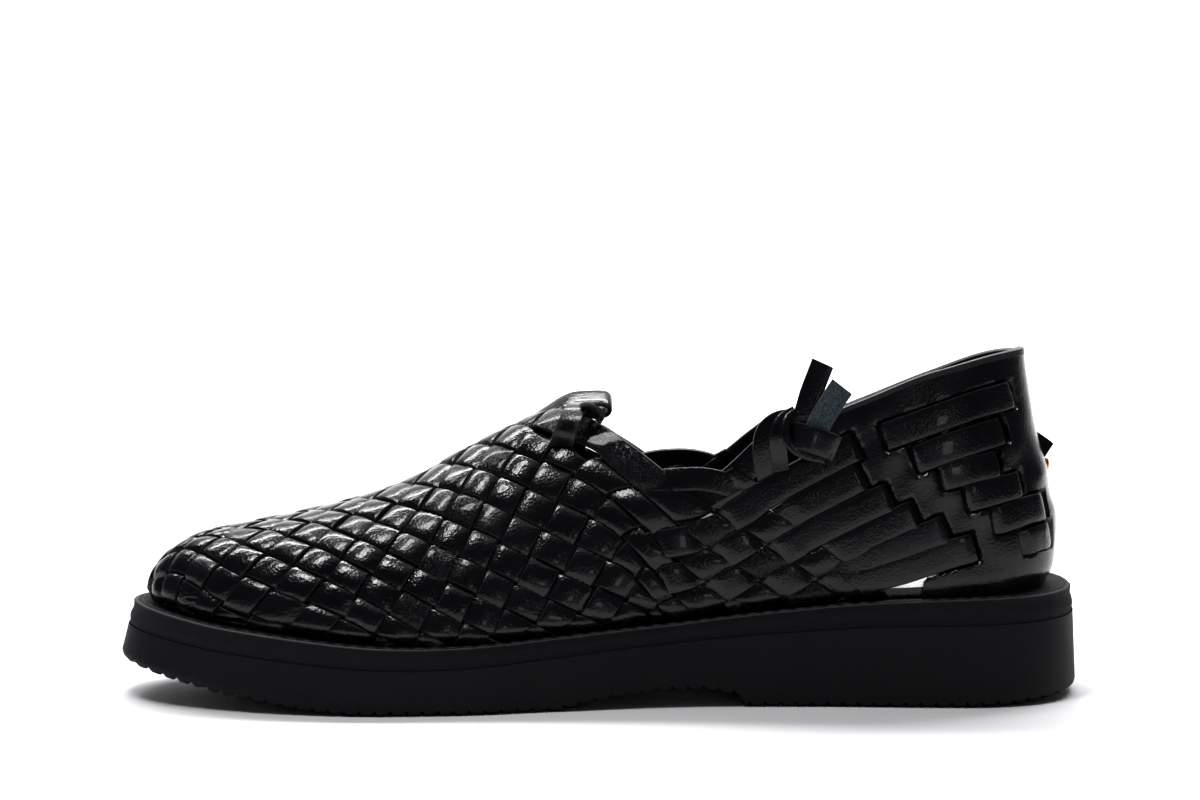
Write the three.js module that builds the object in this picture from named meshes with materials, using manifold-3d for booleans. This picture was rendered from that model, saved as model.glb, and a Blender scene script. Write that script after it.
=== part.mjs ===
// Hand-woven leather huarache, right shoe, in millimetres.
// The toe points to -X, the inner side of the foot to -Y and up is +Z. The sole stands on z = 0.
import * as THREE from 'three';
import { mergeVertices } from 'three/addons/utils/BufferGeometryUtils.js';
import Module from 'manifold-3d';

const wasm = await Module();
wasm.setup();

// Driving sizes of the sole
const LENGTH = 300;
const BALL_WIDTH = 106;
const HEEL_HEIGHT = 34;
const TOE_SPRING = 12;
const SPRING_SHARE = 0.25;
const ARCH_RISE = 5.3;
const HEEL_BEVEL = 2.5;
const BEVEL_SHARE = 0.85;
const MIDSOLE = 8;
const SOLE_CORNER = 2.5;
const WALL_FLARE = 1.8;
const TOE_FLARE = 4;

// Driving sizes of the upper
const TOE_LEDGE = 4;
const SIDE_LEDGE = 4;
const HEEL_LEDGE = 4.5;
const INSTEP_HEIGHT = 92;
const COLLAR_HEIGHT = 108;
const WALL = 3;
const RELIEF = 1.3;
const PITCH = 13.9;
const QUARTER_PITCH = 18.7;
const CREST_INDEX = -1;
const POLE_INDEX = 1.5;
const LEAN = 0.4;
const INSOLE = 3;
const INSOLE_EASE = 0.8;
const COUNTER_WALL = 2.6;
const STRAP_WIDTH = 8.5;
const STRAP = 1.9;
const TIE_WIDTH = 7;
const RIVET_RADIUS = 2.6;
const RIVET_HEAD = 1.8;
const RIVET_UP = 0.655;
const GAP = 0.3;

// Plan of the sole: half width and the shift of its middle, as shares of BALL_WIDTH
const PLAN = [
  { at: 0.00, half: 0.340, middle: -0.084 },
  { at: 0.10, half: 0.390, middle: -0.064 },
  { at: 0.20, half: 0.452, middle: -0.036 },
  { at: 0.28, half: 0.493, middle: -0.016 },
  { at: 0.36, half: 0.500, middle: 0.008 },
  { at: 0.45, half: 0.463, middle: 0.028 },
  { at: 0.55, half: 0.406, middle: 0.026 },
  { at: 0.65, half: 0.368, middle: 0.014 },
  { at: 0.75, half: 0.356, middle: 0.000 },
  { at: 0.87, half: 0.358, middle: -0.014 },
  { at: 1.00, half: 0.356, middle: -0.014 },
];
const TOE_ROUND = { share: 0.24, power: 2.3 };
const HEEL_ROUND = { share: 0.13, power: 2.3 };

// Side view of the sole: top as a share of HEEL_HEIGHT, leather band of MIDSOLE, arch of ARCH_RISE
const SOLE_SIDE = [
  { at: 0.00, top: 0.900, band: 0.97 },
  { at: 0.13, top: 0.724, band: 0.90 },
  { at: 0.32, top: 0.590, band: 0.80 },
  { at: 0.56, top: 0.735, band: 0.69 },
  { at: 0.68, top: 0.853, band: 0.80 },
  { at: 0.79, top: 0.941, band: 0.92 },
  { at: 0.90, top: 0.982, band: 1.00 },
  { at: 1.00, top: 1.000, band: 1.00 },
];
const ARCH = [
  { at: 0.455, rise: 0 },
  { at: 0.520, rise: 0.68 },
  { at: 0.570, rise: 0.95 },
  { at: 0.595, rise: 1 },
  { at: 0.640, rise: 0.66 },
  { at: 0.650, rise: 0 },
];

// Sections of the last: crest height as a share of INSTEP_HEIGHT and the powers of the section's curve
const LAST = [
  { at: 0.00, crest: 0.50, across: 2.3, up: 2.3 },
  { at: 0.08, crest: 0.545, across: 2.3, up: 2.2 },
  { at: 0.20, crest: 0.620, across: 2.2, up: 1.9 },
  { at: 0.29, crest: 0.707, across: 2.0, up: 1.5 },
  { at: 0.37, crest: 0.842, across: 1.9, up: 1.35 },
  { at: 0.45, crest: 0.960, across: 1.9, up: 1.35 },
  { at: 0.50, crest: 1.000, across: 1.95, up: 1.45 },
  { at: 0.60, crest: 1.200, across: 2.2, up: 1.8 },
  { at: 0.72, crest: 1.460, across: 2.3, up: 2.0 },
  { at: 1.00, crest: 1.560, across: 2.3, up: 2.0 },
];
const TOE_CAP = { share: 0.075, power: 2.4 };

// Back of the heel: how far it leans forward at a height, as shares of COLLAR_HEIGHT and LENGTH
const BACK = [
  { at: 0.30, lean: 0.0085 },
  { at: 0.38, lean: 0.002 },
  { at: 0.46, lean: 0 },
  { at: 0.65, lean: 0.011 },
  { at: 0.80, lean: 0.025 },
  { at: 1.00, lean: 0.035 },
];

// Top edge of each side as a share of COLLAR_HEIGHT, with the tie's ear on the inner side
const TOPLINE = [
  { at: 0.492, inner: 1.10, outer: 1.10 },
  { at: 0.508, inner: 0.835, outer: 0.825 },
  { at: 0.552, inner: 0.690, outer: 0.665 },
  { at: 0.570, inner: 0.674, outer: 0.635 },
  { at: 0.605, inner: 0.674, outer: 0.648 },
  { at: 0.630, inner: 0.680, outer: 0.645 },
  { at: 0.655, inner: 0.750, outer: 0.685 },
  { at: 0.670, inner: 0.828, outer: 0.705 },
  { at: 0.695, inner: 0.842, outer: 0.725 },
  { at: 0.757, inner: 0.818, outer: 0.765 },
  { at: 0.787, inner: 0.858, outer: 0.805 },
  { at: 0.860, inner: 0.950, outer: 0.905 },
  { at: 0.943, inner: 1.000, outer: 1.000 },
  { at: 1.000, inner: 1.000, outer: 1.000 },
];

// Front edge of the heel counter, as shares of LENGTH and COLLAR_HEIGHT
const COUNTER_FRONT = [
  { at: 0.735, up: 1.10 },
  { at: 0.757, up: 0.705 },
  { at: 0.790, up: 0.560 },
  { at: 0.833, up: 0.300 },
  { at: 0.833, up: 0.000 },
];
const VENT = { from: 0.780, to: 0.822, height: 5.5 };
const PEEP = { at: 0.495, up: 0.715, width: 4.6, height: 3.4 };

// Straps laced through the counter: ends as shares of LENGTH and COLLAR_HEIGHT
const COUNTER_STRAPS = [
  { from: 0.792, low: 0.762, to: 0.920, high: 0.872 },
  { from: 0.828, low: 0.700, to: 0.912, high: 0.776 },
  { from: 0.858, low: 0.645, to: 0.904, high: 0.692 },
  { from: 0.882, low: 0.592, to: 0.932, high: 0.640 },
  { from: 0.912, low: 0.532, to: 0.950, high: 0.575 },
  { from: 0.936, low: 0.462, to: 0.958, high: 0.484 },
];

// Readings from the tables

// Smooth curve through one column of a table that never swings past its rows
function curve(rows, column) {
  const xs = rows.map((row) => row.at);
  const ys = rows.map((row) => row[column]);
  const secants = xs.slice(1).map((x, i) => (ys[i + 1] - ys[i]) / (x - xs[i]));
  const slopes = ys.map((y, i) => {
    if (i === 0) return secants[0];
    if (i === ys.length - 1) return secants[i - 1];
    const before = secants[i - 1];
    const after = secants[i];
    return before * after <= 0 ? 0 : (2 * before * after) / (before + after);
  });
  return (x) => {
    const inside = Math.min(Math.max(x, xs[0]), xs[xs.length - 1]);
    let i = xs.findIndex((next, k) => k > 0 && inside <= next) - 1;
    if (i < 0) i = 0;
    const span = xs[i + 1] - xs[i];
    const t = (inside - xs[i]) / span;
    const start = (1 + 2 * t) * (1 - t) ** 2 * ys[i] + t * (1 - t) ** 2 * span * slopes[i];
    return start + t * t * (3 - 2 * t) * ys[i + 1] + t * t * (t - 1) * span * slopes[i + 1];
  };
}

const clamp = (value, low = 0, high = 1) => Math.min(Math.max(value, low), high);
const ease = (value, from, to) => {
  const t = clamp((value - from) / (to - from));
  return t * t * (3 - 2 * t);
};
const share = (x) => x / LENGTH + 0.5;
const station = (at) => (at - 0.5) * LENGTH;

const planHalf = curve(PLAN, 'half');
const planMiddle = curve(PLAN, 'middle');
const soleTopShare = curve(SOLE_SIDE, 'top');
const bandShare = curve(SOLE_SIDE, 'band');
const archRise = curve(ARCH, 'rise');
const crestShare = curve(LAST, 'crest');
const acrossPower = curve(LAST, 'across');
const upPower = curve(LAST, 'up');
const backLeanShare = curve(BACK, 'lean');
const topline = { inner: curve(TOPLINE, 'inner'), outer: curve(TOPLINE, 'outer') };

// Round nose of an outline: 0 at the tip and 1 from `share` on
function nose(at, { share: reach, power }) {
  if (at <= 0) return 0;
  if (at >= reach) return 1;
  return (1 - ((reach - at) / reach) ** power) ** (1 / power);
}

// Sole

const soleTop = (x) => soleTopShare(share(x)) * HEEL_HEIGHT;
const band = (x) => bandShare(share(x)) * MIDSOLE;

function soleBottom(x) {
  const at = share(x);
  const spring = TOE_SPRING * clamp((SPRING_SHARE - at) / SPRING_SHARE) ** 1.4;
  const bevel = HEEL_BEVEL * clamp((at - BEVEL_SHARE) / (1 - BEVEL_SHARE)) ** 2;
  return spring + ARCH_RISE * archRise(at) + bevel;
}

// Outline in plan between two ends, moved in by `trim`, read by x or by an angle from toe to heel
function outlineBetween(toe, heel, trim) {
  const along = (x) => (x - toe) / (heel - toe);
  const half = (x) => {
    const at = along(x);
    return (planHalf(at) * BALL_WIDTH - trim) * nose(at, TOE_ROUND) * nose(1 - at, HEEL_ROUND);
  };
  const middle = (x) => planMiddle(along(x)) * BALL_WIDTH;
  const at = (angle, side) => {
    const x = toe + ((heel - toe) * (1 - Math.cos(angle))) / 2;
    const hand = Math.sin(angle) >= 0 ? side : -side;
    return new THREE.Vector2(x, middle(x) + hand * half(x));
  };
  const point = (angle, side, inset) => {
    const step = 0.01;
    const tangent = at(angle + step, side).sub(at(angle - step, side)).normalize();
    const inward = new THREE.Vector2(side * tangent.y, -side * tangent.x);
    return at(angle, side).addScaledVector(inward, inset);
  };
  return { half, middle, point };
}

const soleOutline = outlineBetween(-LENGTH / 2, LENGTH / 2, 0);
const flare = (x) => WALL_FLARE + (TOE_FLARE - WALL_FLARE) * clamp(1 - share(x) / 0.1);

// Closed mesh from a list of triangles
class Shell {
  constructor() {
    this.corners = [];
  }

  triangle(a, b, c) {
    this.corners.push(a, b, c);
  }

  quad(a, b, c, d) {
    this.triangle(a, b, c);
    this.triangle(a, c, d);
  }

  solid() {
    const source = new THREE.BufferGeometry().setFromPoints(this.corners);
    const merged = mergeVertices(source, 1e-3);
    const places = merged.getAttribute('position');
    const kept = [];
    let volume = 0;
    for (let i = 0; i < merged.index.count; i += 3) {
      const trio = [0, 1, 2].map((n) => merged.index.getX(i + n));
      if (new Set(trio).size < 3) continue;
      kept.push(...trio);
      const [a, b, c] = trio.map((n) => new THREE.Vector3().fromBufferAttribute(places, n));
      volume += a.dot(b.cross(c)) / 6;
    }
    if (volume < 0) kept.reverse();
    const mesh = new wasm.Mesh({
      numProp: 3,
      vertProperties: new Float32Array(places.array),
      triVerts: new Uint32Array(kept),
    });
    return new wasm.Manifold(mesh);
  }
}

function geometryOf(solid) {
  const mesh = solid.getMesh();
  const geometry = new THREE.BufferGeometry();
  geometry.setAttribute('position', new THREE.BufferAttribute(new Float32Array(mesh.vertProperties), 3));
  geometry.setIndex(new THREE.BufferAttribute(new Uint32Array(mesh.triVerts), 1));
  geometry.computeVertexNormals();
  return geometry;
}

// Layer that follows an outline, built from rings given from the bottom up
function slab(outline, rings, steps) {
  const shell = new Shell();
  const ring = rings.map(({ inset, height }) => {
    const row = (side) => Array.from({ length: steps + 1 }, (_, i) => {
      const angle = (Math.PI * i) / steps;
      const probe = outline.point(angle, side, 0);
      const place = outline.point(angle, side, inset(probe.x));
      return new THREE.Vector3(place.x, place.y, height(place.x));
    });
    return { inner: row(-1), outer: row(1) };
  });
  for (let i = 0; i < steps; i += 1) {
    const floor = ring[0];
    const roof = ring[ring.length - 1];
    shell.quad(floor.inner[i], floor.outer[i], floor.outer[i + 1], floor.inner[i + 1]);
    shell.quad(roof.inner[i], roof.inner[i + 1], roof.outer[i + 1], roof.outer[i]);
    for (let k = 0; k + 1 < ring.length; k += 1) {
      const low = ring[k];
      const high = ring[k + 1];
      shell.quad(low.inner[i], low.inner[i + 1], high.inner[i + 1], high.inner[i]);
      shell.quad(low.outer[i], high.outer[i], high.outer[i + 1], low.outer[i + 1]);
    }
  }
  return shell.solid();
}

function makeOutsole() {
  const joint = (x) => soleTop(x) - band(x) - GAP;
  return slab(soleOutline, [
    { inset: () => SOLE_CORNER, height: soleBottom },
    { inset: () => 0, height: (x) => soleBottom(x) + SOLE_CORNER },
    { inset: (x) => flare(x) * 0.8, height: joint },
  ], 72);
}

function makeMidsole() {
  return slab(soleOutline, [
    { inset: (x) => flare(x) * 0.8, height: (x) => soleTop(x) - band(x) },
    { inset: flare, height: soleTop },
  ], 60);
}

// Last

const TOE_END = -LENGTH / 2 + TOE_FLARE + TOE_LEDGE;
const HEEL_END = LENGTH / 2 - WALL_FLARE - HEEL_LEDGE;
const upperOutline = outlineBetween(TOE_END, HEEL_END, WALL_FLARE + SIDE_LEDGE);
const feather = (x) => soleTop(x) + GAP;

function crest(x) {
  const full = crestShare(share(x)) * INSTEP_HEIGHT;
  return feather(x) + (full - feather(x)) * nose(share(x) - share(TOE_END), TOE_CAP);
}

// How far the last's back leans forward at a height, growing from the waist to the heel
const leanAt = (x, z) => LENGTH * backLeanShare(z / COLLAR_HEIGHT) * ease(share(x), 0.62, 0.95);
const upright = (x, z) => x + leanAt(x, z);

// Half width of the last at a place in the side view
function halfWidth(x, z) {
  const straight = upright(x, z);
  const low = feather(straight);
  const up = clamp((z - low) / (crest(straight) - low));
  return upperOutline.half(straight) * (1 - up ** upPower(share(straight))) ** (1 / acrossPower(share(straight)));
}

// Point on the last at a place in the side view
function sidePoint(x, z, side) {
  return new THREE.Vector3(x, upperOutline.middle(x) + side * halfWidth(x, z), z);
}

// Height of the last over a place in the plan
function roof(x, across) {
  const half = upperOutline.half(x);
  const out = clamp(Math.abs(across) / Math.max(half, 0.01));
  return feather(x) + (crest(x) - feather(x)) * (1 - out ** acrossPower(share(x))) ** (1 / upPower(share(x)));
}

// Length along the crest from the toe end, one row for each small step in x
const crestLine = (() => {
  const rows = [];
  const steps = 240;
  let length = 0;
  for (let i = 0; i <= steps; i += 1) {
    const x = TOE_END + (LENGTH * 0.62) * (i / steps) ** 2;
    const z = crest(x);
    if (i > 0) length += Math.hypot(x - rows[i - 1].x, z - rows[i - 1].z);
    rows.push({ x, z, length });
  }
  return rows;
})();

function crestX(length) {
  const i = Math.max(crestLine.findIndex((row) => row.length >= length), 1);
  const low = crestLine[i - 1];
  const high = crestLine[i];
  return low.x + ((high.x - low.x) * (length - low.length)) / (high.length - low.length);
}

// Walk a given length along a list of points, and straight on past its end
function walk(points, length) {
  let left = length;
  for (let i = 1; i < points.length; i += 1) {
    const step = points[i].distanceTo(points[i - 1]);
    if (left <= step || i === points.length - 1) {
      return points[i - 1].clone().lerp(points[i], step > 0 ? left / step : 0);
    }
    left -= step;
  }
  return points[0].clone();
}

const RIB_STEPS = 36;
const SKIRT = 14;

// Rib that fans out from the pole of the toe cap, down over the toe's edge
function toeRib(angle, side) {
  const poleX = crestX((POLE_INDEX - CREST_INDEX) * PITCH);
  const place = (reach) => ({ x: poleX - Math.cos(angle) * reach, across: Math.sin(angle) * reach });
  let low = 0;
  let high = LENGTH / 4;
  for (let i = 0; i < 30; i += 1) {
    const middle = (low + high) / 2;
    const { x, across } = place(middle);
    if (x > TOE_END && across < upperOutline.half(x)) low = middle;
    else high = middle;
  }
  const points = [];
  for (let i = 0; i <= RIB_STEPS; i += 1) {
    const { x, across } = place(low * Math.sin((Math.PI / 2) * (i / RIB_STEPS)));
    points.push(new THREE.Vector3(x, upperOutline.middle(x) + side * across, roof(x, across)));
  }
  const end = points[RIB_STEPS];
  end.z = feather(end.x);
  points.push(end.clone().setZ(end.z - SKIRT));
  return points;
}

// Section of the vamp: it starts at the crest and leans back towards the heel as it goes down
function vampRib(row, side) {
  const startX = crestX((row - CREST_INDEX) * PITCH);
  const startZ = crest(startX);
  const tilt = LEAN * ease(row, POLE_INDEX, POLE_INDEX + 2.5);
  const place = (depth) => ({ x: startX + depth * Math.sin(tilt), z: startZ - depth * Math.cos(tilt) });
  let foot = 0;
  for (let step = 16; step > 0.01; step /= 2) {
    while (place(foot + step).z > feather(place(foot + step).x)) foot += step;
  }
  const points = [];
  for (let i = 0; i <= RIB_STEPS; i += 1) {
    const { x, z } = place(foot * (i / RIB_STEPS) ** 2);
    points.push(sidePoint(x, z, i === 0 ? 0 : side));
  }
  const { x, z } = place(foot + SKIRT);
  points.push(sidePoint(x, z, side));
  return points;
}

// Place of a strip crossing on the quarter, in the side view
function quarterPlace(row, out) {
  return {
    x: station(0.581) + (row - 11) * (QUARTER_PITCH - 0.5) - (out - 2.5) * 0.9,
    z: COLLAR_HEIGHT * 0.521 - (row - 11) * 1.8 - (out - 2.5) * PITCH * 0.8,
  };
}

// Surface of the woven wall: `row` counts strips along the foot, `out` from the crest down a side
function surface(row, out, side) {
  if (row < POLE_INDEX) {
    const reach = Math.hypot(POLE_INDEX - row, out) * PITCH;
    return walk(toeRib(Math.atan2(Math.abs(out), POLE_INDEX - row), side), reach);
  }
  const onQuarter = ease(row, 10.5, 11.5);
  const blend = ease(row, 9.5, 11.5) * (1 - (1 - ease(out, 0.5, 2)) * (1 - onQuarter));
  if (blend === 0) return walk(vampRib(row, side), Math.abs(out) * PITCH);
  const vamp = blend < 1 ? walk(vampRib(row, side), Math.max(out, 0) * PITCH) : { x: 0, z: 0 };
  const quarter = quarterPlace(row, out);
  const x = vamp.x * (1 - blend) + quarter.x * blend;
  return sidePoint(x, vamp.z * (1 - blend) + quarter.z * blend, side);
}

// Place on the wall by strip lines a and b, moved out along the normal
const wallPlaces = new Map();
function wallPlace(a, b, hand, offset) {
  const row = (a + b) / 2;
  let out = (a - b) / 2;
  let side = hand;
  if (row <= 10.5) side = out < 0 ? 1 : -1;
  if (side > 0) out = -out;
  const key = [a, b, side].join();
  if (!wallPlaces.has(key)) {
    const step = 0.04;
    const at = (rows, outs) => {
      const crossed = row + rows <= 10.5 && out + outs < 0;
      return surface(row + rows, crossed ? -(out + outs) : out + outs, crossed ? -side : side);
    };
    const along = at(step, 0).sub(at(-step, 0));
    const down = at(0, step).sub(at(0, -step));
    const normal = along.cross(down).multiplyScalar(side < 0 ? -1 : 1).normalize();
    wallPlaces.set(key, { place: at(0, 0), normal });
  }
  const { place, normal } = wallPlaces.get(key);
  return place.clone().addScaledVector(normal, offset);
}

// Lowest index `out` that a quarter cell may have, so that the wall reaches past its top edge
const quarterStart = (row) => 1.5 - 3.5 * clamp((row - 10) / 3);

function cellCorners(cell, offset) {
  const { a, b, hand } = cell;
  const steps = [[-0.5, -0.5], [0.5, -0.5], [0.5, 0.5], [-0.5, 0.5]];
  return steps.map(([da, db]) => wallPlace(a + da, b + db, hand, offset));
}

function listCells() {
  const cells = [];
  for (let a = -8; a <= 24; a += 1) {
    for (let b = -8; b <= 24; b += 1) {
      const row = (a + b) / 2;
      const out = (a - b) / 2;
      if (row < -2.5 || row > 15.5) continue;
      const hands = row <= 9.5 ? [0] : [-1, 1];
      hands.forEach((hand) => {
        const down = hand > 0 ? -out : out;
        if (hand !== 0 && down < quarterStart(row) && !(row <= 10.5 && Math.abs(out) < 0.6)) return;
        if (hand > 0 && row <= 10.5 && Math.abs(out) < 0.6) return;
        const cell = { a, b, hand };
        const reaches = cellCorners(cell, 0).some((corner) => corner.z > soleTop(corner.x));
        if (reaches) cells.push(cell);
      });
    }
  }
  return cells;
}

// Woven wall: a smooth inner skin and a raised pad wherever one strip crosses over another
function makeWovenWall() {
  const shell = new Shell();
  const edges = new Map();
  const edgeKey = (p, q) => [p, q].map((v) => v.toArray().map((n) => n.toFixed(2)).join()).join('|');
  listCells().forEach((cell) => {
    const outer = cellCorners(cell, -RELIEF);
    const inner = cellCorners(cell, -WALL);
    const rising = (cell.a + cell.b) % 2 === 0;
    const insetA = rising ? 0.42 : 0.33;
    const insetB = rising ? 0.33 : 0.42;
    const pad = [[-1, -1], [1, -1], [1, 1], [-1, 1]].map(([da, db]) => (
      wallPlace(cell.a + da * insetA, cell.b + db * insetB, cell.hand, 0)));
    shell.quad(...pad);
    shell.quad(inner[3], inner[2], inner[1], inner[0]);
    for (let i = 0; i < 4; i += 1) {
      const next = (i + 1) % 4;
      shell.quad(outer[i], outer[next], pad[next], pad[i]);
      const back = edgeKey(outer[next], outer[i]);
      if (edges.has(back)) edges.delete(back);
      else edges.set(edgeKey(outer[i], outer[next]), [outer[i], outer[next], inner[next], inner[i]]);
    }
  });
  edges.forEach(([a, b, c, d]) => shell.quad(b, a, d, c));
  return shell.solid();
}

// Cutters

// Closed solid from one of the ready-made geometries
function solidOf(geometry) {
  const bare = geometry.clone();
  bare.deleteAttribute('normal');
  bare.deleteAttribute('uv');
  const merged = mergeVertices(bare, 1e-4);
  const places = merged.getAttribute('position');
  const shell = new Shell();
  for (let i = 0; i < merged.index.count; i += 3) {
    shell.triangle(...[0, 1, 2].map((n) => new THREE.Vector3().fromBufferAttribute(places, merged.index.getX(i + n))));
  }
  return shell.solid();
}

// Prism across the shoe over an outline in the side view
function sidePrism(points, from, to) {
  const shape = new THREE.Shape(points.map(([x, z]) => new THREE.Vector2(x, z)));
  const geometry = new THREE.ExtrudeGeometry(shape, { depth: to - from, bevelEnabled: false });
  geometry.rotateX(Math.PI / 2);
  geometry.translate(0, to, 0);
  return solidOf(geometry);
}

const REACH = BALL_WIDTH;
const SKY = COLLAR_HEIGHT * 1.6;

function stations(from, to, count) {
  return Array.from({ length: count + 1 }, (_, i) => from + ((to - from) * i) / count);
}

const underFeather = sidePrism([
  [-LENGTH, -HEEL_HEIGHT],
  [LENGTH, -HEEL_HEIGHT],
  [LENGTH, feather(LENGTH)],
  ...stations(station(1), station(0), 48).map((x) => [x, feather(x)]),
  [-LENGTH, feather(-LENGTH)],
], -REACH, REACH);

function aboveTopline(column, from, to) {
  const edge = stations(TOPLINE[0].at, 1.02, 60).map((at) => [station(at), topline[column](at) * COLLAR_HEIGHT]);
  return sidePrism([...edge, [station(1.02), SKY], [station(TOPLINE[0].at), SKY]], from, to);
}

function behindFront(shift) {
  const edge = COUNTER_FRONT.map(({ at, up }) => [station(at) + shift, up * COLLAR_HEIGHT]);
  return sidePrism([...edge.reverse(), [edge[edge.length - 1][0], SKY], [LENGTH, SKY], [LENGTH, 0]], -REACH, REACH);
}

const ventBlock = sidePrism([
  [station(VENT.from), 0],
  [station(VENT.to), 0],
  [station(VENT.to), feather(station(VENT.to)) + VENT.height],
  [station(VENT.from), feather(station(VENT.from)) + VENT.height],
], -REACH, REACH);

const peepBlock = sidePrism([
  [station(PEEP.at) - PEEP.width / 2, PEEP.up * COLLAR_HEIGHT + PEEP.height / 2],
  [station(PEEP.at) + PEEP.width / 2, PEEP.up * COLLAR_HEIGHT - PEEP.height / 2],
  [station(PEEP.at) + PEEP.width / 2, PEEP.up * COLLAR_HEIGHT + PEEP.height / 2],
], -REACH, REACH);

function trimTop(solid) {
  return solid
    .subtract(underFeather)
    .subtract(aboveTopline('inner', -REACH, 0))
    .subtract(aboveTopline('outer', 0, REACH));
}

function makeUpper() {
  return trimTop(makeWovenWall())
    .subtract(behindFront(-GAP))
    .subtract(ventBlock)
    .subtract(peepBlock);
}

// Heel counter

// Point and outward normal of the last for a place in the side view
function sideFrame(x, z, side) {
  const step = 0.4;
  const place = sidePoint(x, z, side);
  const along = sidePoint(x + step, z, side).sub(sidePoint(x - step, z, side));
  const up = sidePoint(x, z + step, side).sub(sidePoint(x, z - step, side));
  return { place, normal: along.cross(up).multiplyScalar(-side).normalize() };
}

// Strip that lies on the last's side between two places in the side view
function sideBand(start, end, width, side, inner, outer) {
  const shell = new Shell();
  const steps = 6;
  const run = new THREE.Vector2(end.x - start.x, end.z - start.z);
  const across = new THREE.Vector2(-run.y, run.x).normalize().multiplyScalar(width / 2);
  const rings = stations(0, 1, steps).map((t) => {
    const x = start.x + run.x * t;
    const z = start.z + run.y * t;
    const edge = [1, -1].map((hand) => sideFrame(x + across.x * hand, z + across.y * hand, side));
    const at = ({ place, normal }, offset) => place.clone().addScaledVector(normal, offset);
    return [at(edge[0], inner), at(edge[0], outer), at(edge[1], outer), at(edge[1], inner)];
  });
  for (let i = 0; i < steps; i += 1) {
    for (let k = 0; k < 4; k += 1) {
      const next = (k + 1) % 4;
      shell.quad(rings[i][k], rings[i][next], rings[i + 1][next], rings[i + 1][k]);
    }
  }
  shell.quad(...rings[0].slice().reverse());
  shell.quad(...rings[steps]);
  return shell.solid();
}

// Wall round the heel, from the sole up past the collar
function makeHeelWall() {
  const shell = new Shell();
  const front = station(0.72);
  const turns = 15;
  const levels = stations(feather(front) - 8, COLLAR_HEIGHT + 6, 7);
  const place = (turn, z, offset) => {
    const side = turn < 0 ? -1 : 1;
    const straight = front + (HEEL_END - front) * Math.cos((Math.PI / 2) * (Math.abs(turn) / turns));
    const x = straight - LENGTH * backLeanShare(z / COLLAR_HEIGHT) * ease(share(straight), 0.62, 0.95);
    return { x, y: side * upperOutline.half(straight) * widthShare(straight, z), z, offset };
  };
  const widthShare = (straight, z) => {
    const low = feather(straight);
    const up = clamp((z - low) / (crest(straight) - low));
    return (1 - up ** upPower(share(straight))) ** (1 / acrossPower(share(straight)));
  };
  const vertex = (turn, level, offset) => {
    const z = levels[level];
    const at = (t, height) => {
      const p = place(t, height);
      return new THREE.Vector3(p.x, upperOutline.middle(p.x) + p.y, p.z);
    };
    const along = at(Math.min(turn + 0.02, turns), z).sub(at(Math.max(turn - 0.02, -turns), z));
    const up = at(turn, z + 0.2).sub(at(turn, z - 0.2));
    return at(turn, z).addScaledVector(along.cross(up).normalize(), offset);
  };
  const grid = (offset) => levels.map((_, level) => (
    Array.from({ length: 2 * turns + 1 }, (__, i) => vertex(i - turns, level, offset))));
  const outer = grid(-RELIEF);
  const inner = grid(-RELIEF - COUNTER_WALL);
  const last = 2 * turns;
  for (let level = 0; level + 1 < levels.length; level += 1) {
    for (let i = 0; i < last; i += 1) {
      shell.quad(outer[level][i], outer[level][i + 1], outer[level + 1][i + 1], outer[level + 1][i]);
      shell.quad(inner[level][i], inner[level + 1][i], inner[level + 1][i + 1], inner[level][i + 1]);
    }
    [[0, 1], [last, -1]].forEach(([i, turn]) => {
      const loop = [outer[level][i], outer[level + 1][i], inner[level + 1][i], inner[level][i]];
      shell.quad(...(turn > 0 ? loop : loop.reverse()));
    });
  }
  const top = levels.length - 1;
  for (let i = 0; i < last; i += 1) {
    shell.quad(outer[0][i + 1], outer[0][i], inner[0][i], inner[0][i + 1]);
    shell.quad(outer[top][i], outer[top][i + 1], inner[top][i + 1], inner[top][i]);
  }
  return shell.solid();
}

function makeHeelCounter() {
  let wall = makeHeelWall();
  COUNTER_STRAPS.forEach(({ from, low, to, high }) => {
    [-1, 1].forEach((side) => {
      const start = { x: station(from), z: low * COLLAR_HEIGHT };
      const end = { x: station(to), z: high * COLLAR_HEIGHT };
      wall = wall.add(sideBand(start, end, STRAP_WIDTH, side, -RELIEF - 1, STRAP - RELIEF));
    });
  });
  return trimTop(wall).intersect(behindFront(0));
}

// Flat strip along a route, with its width turned towards `across` at each point
function strip(route, across, width, thickness) {
  const path = new THREE.CatmullRomCurve3(route.map(([x, y, z]) => new THREE.Vector3(x, y, z)));
  const steps = (route.length - 1) * 3;
  const shell = new Shell();
  const rings = stations(0, 1, steps).map((t) => {
    const centre = path.getPoint(t);
    const forward = path.getTangent(t);
    const wide = new THREE.Vector3(...across).addScaledVector(forward, -forward.dot(new THREE.Vector3(...across)));
    wide.normalize().multiplyScalar(width / 2);
    const thick = forward.clone().cross(wide).normalize().multiplyScalar(thickness / 2);
    const corner = (w, n) => centre.clone().addScaledVector(wide, w).addScaledVector(thick, n);
    return [corner(1, 1), corner(1, -1), corner(-1, -1), corner(-1, 1)];
  });
  for (let i = 0; i < steps; i += 1) {
    for (let k = 0; k < 4; k += 1) {
      const next = (k + 1) % 4;
      shell.quad(rings[i][k], rings[i][next], rings[i + 1][next], rings[i + 1][k]);
    }
  }
  shell.quad(...rings[0].slice().reverse());
  shell.quad(...rings[steps]);
  return shell.solid();
}

// Loops, tie and back tab

// Place over the crown of the vamp, `across` from its middle and lifted off the surface
function overCrown([at, across, lift]) {
  const x = station(at);
  return [x, upperOutline.middle(x) + across, roof(x, across) + lift + GAP + STRAP / 2];
}

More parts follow.
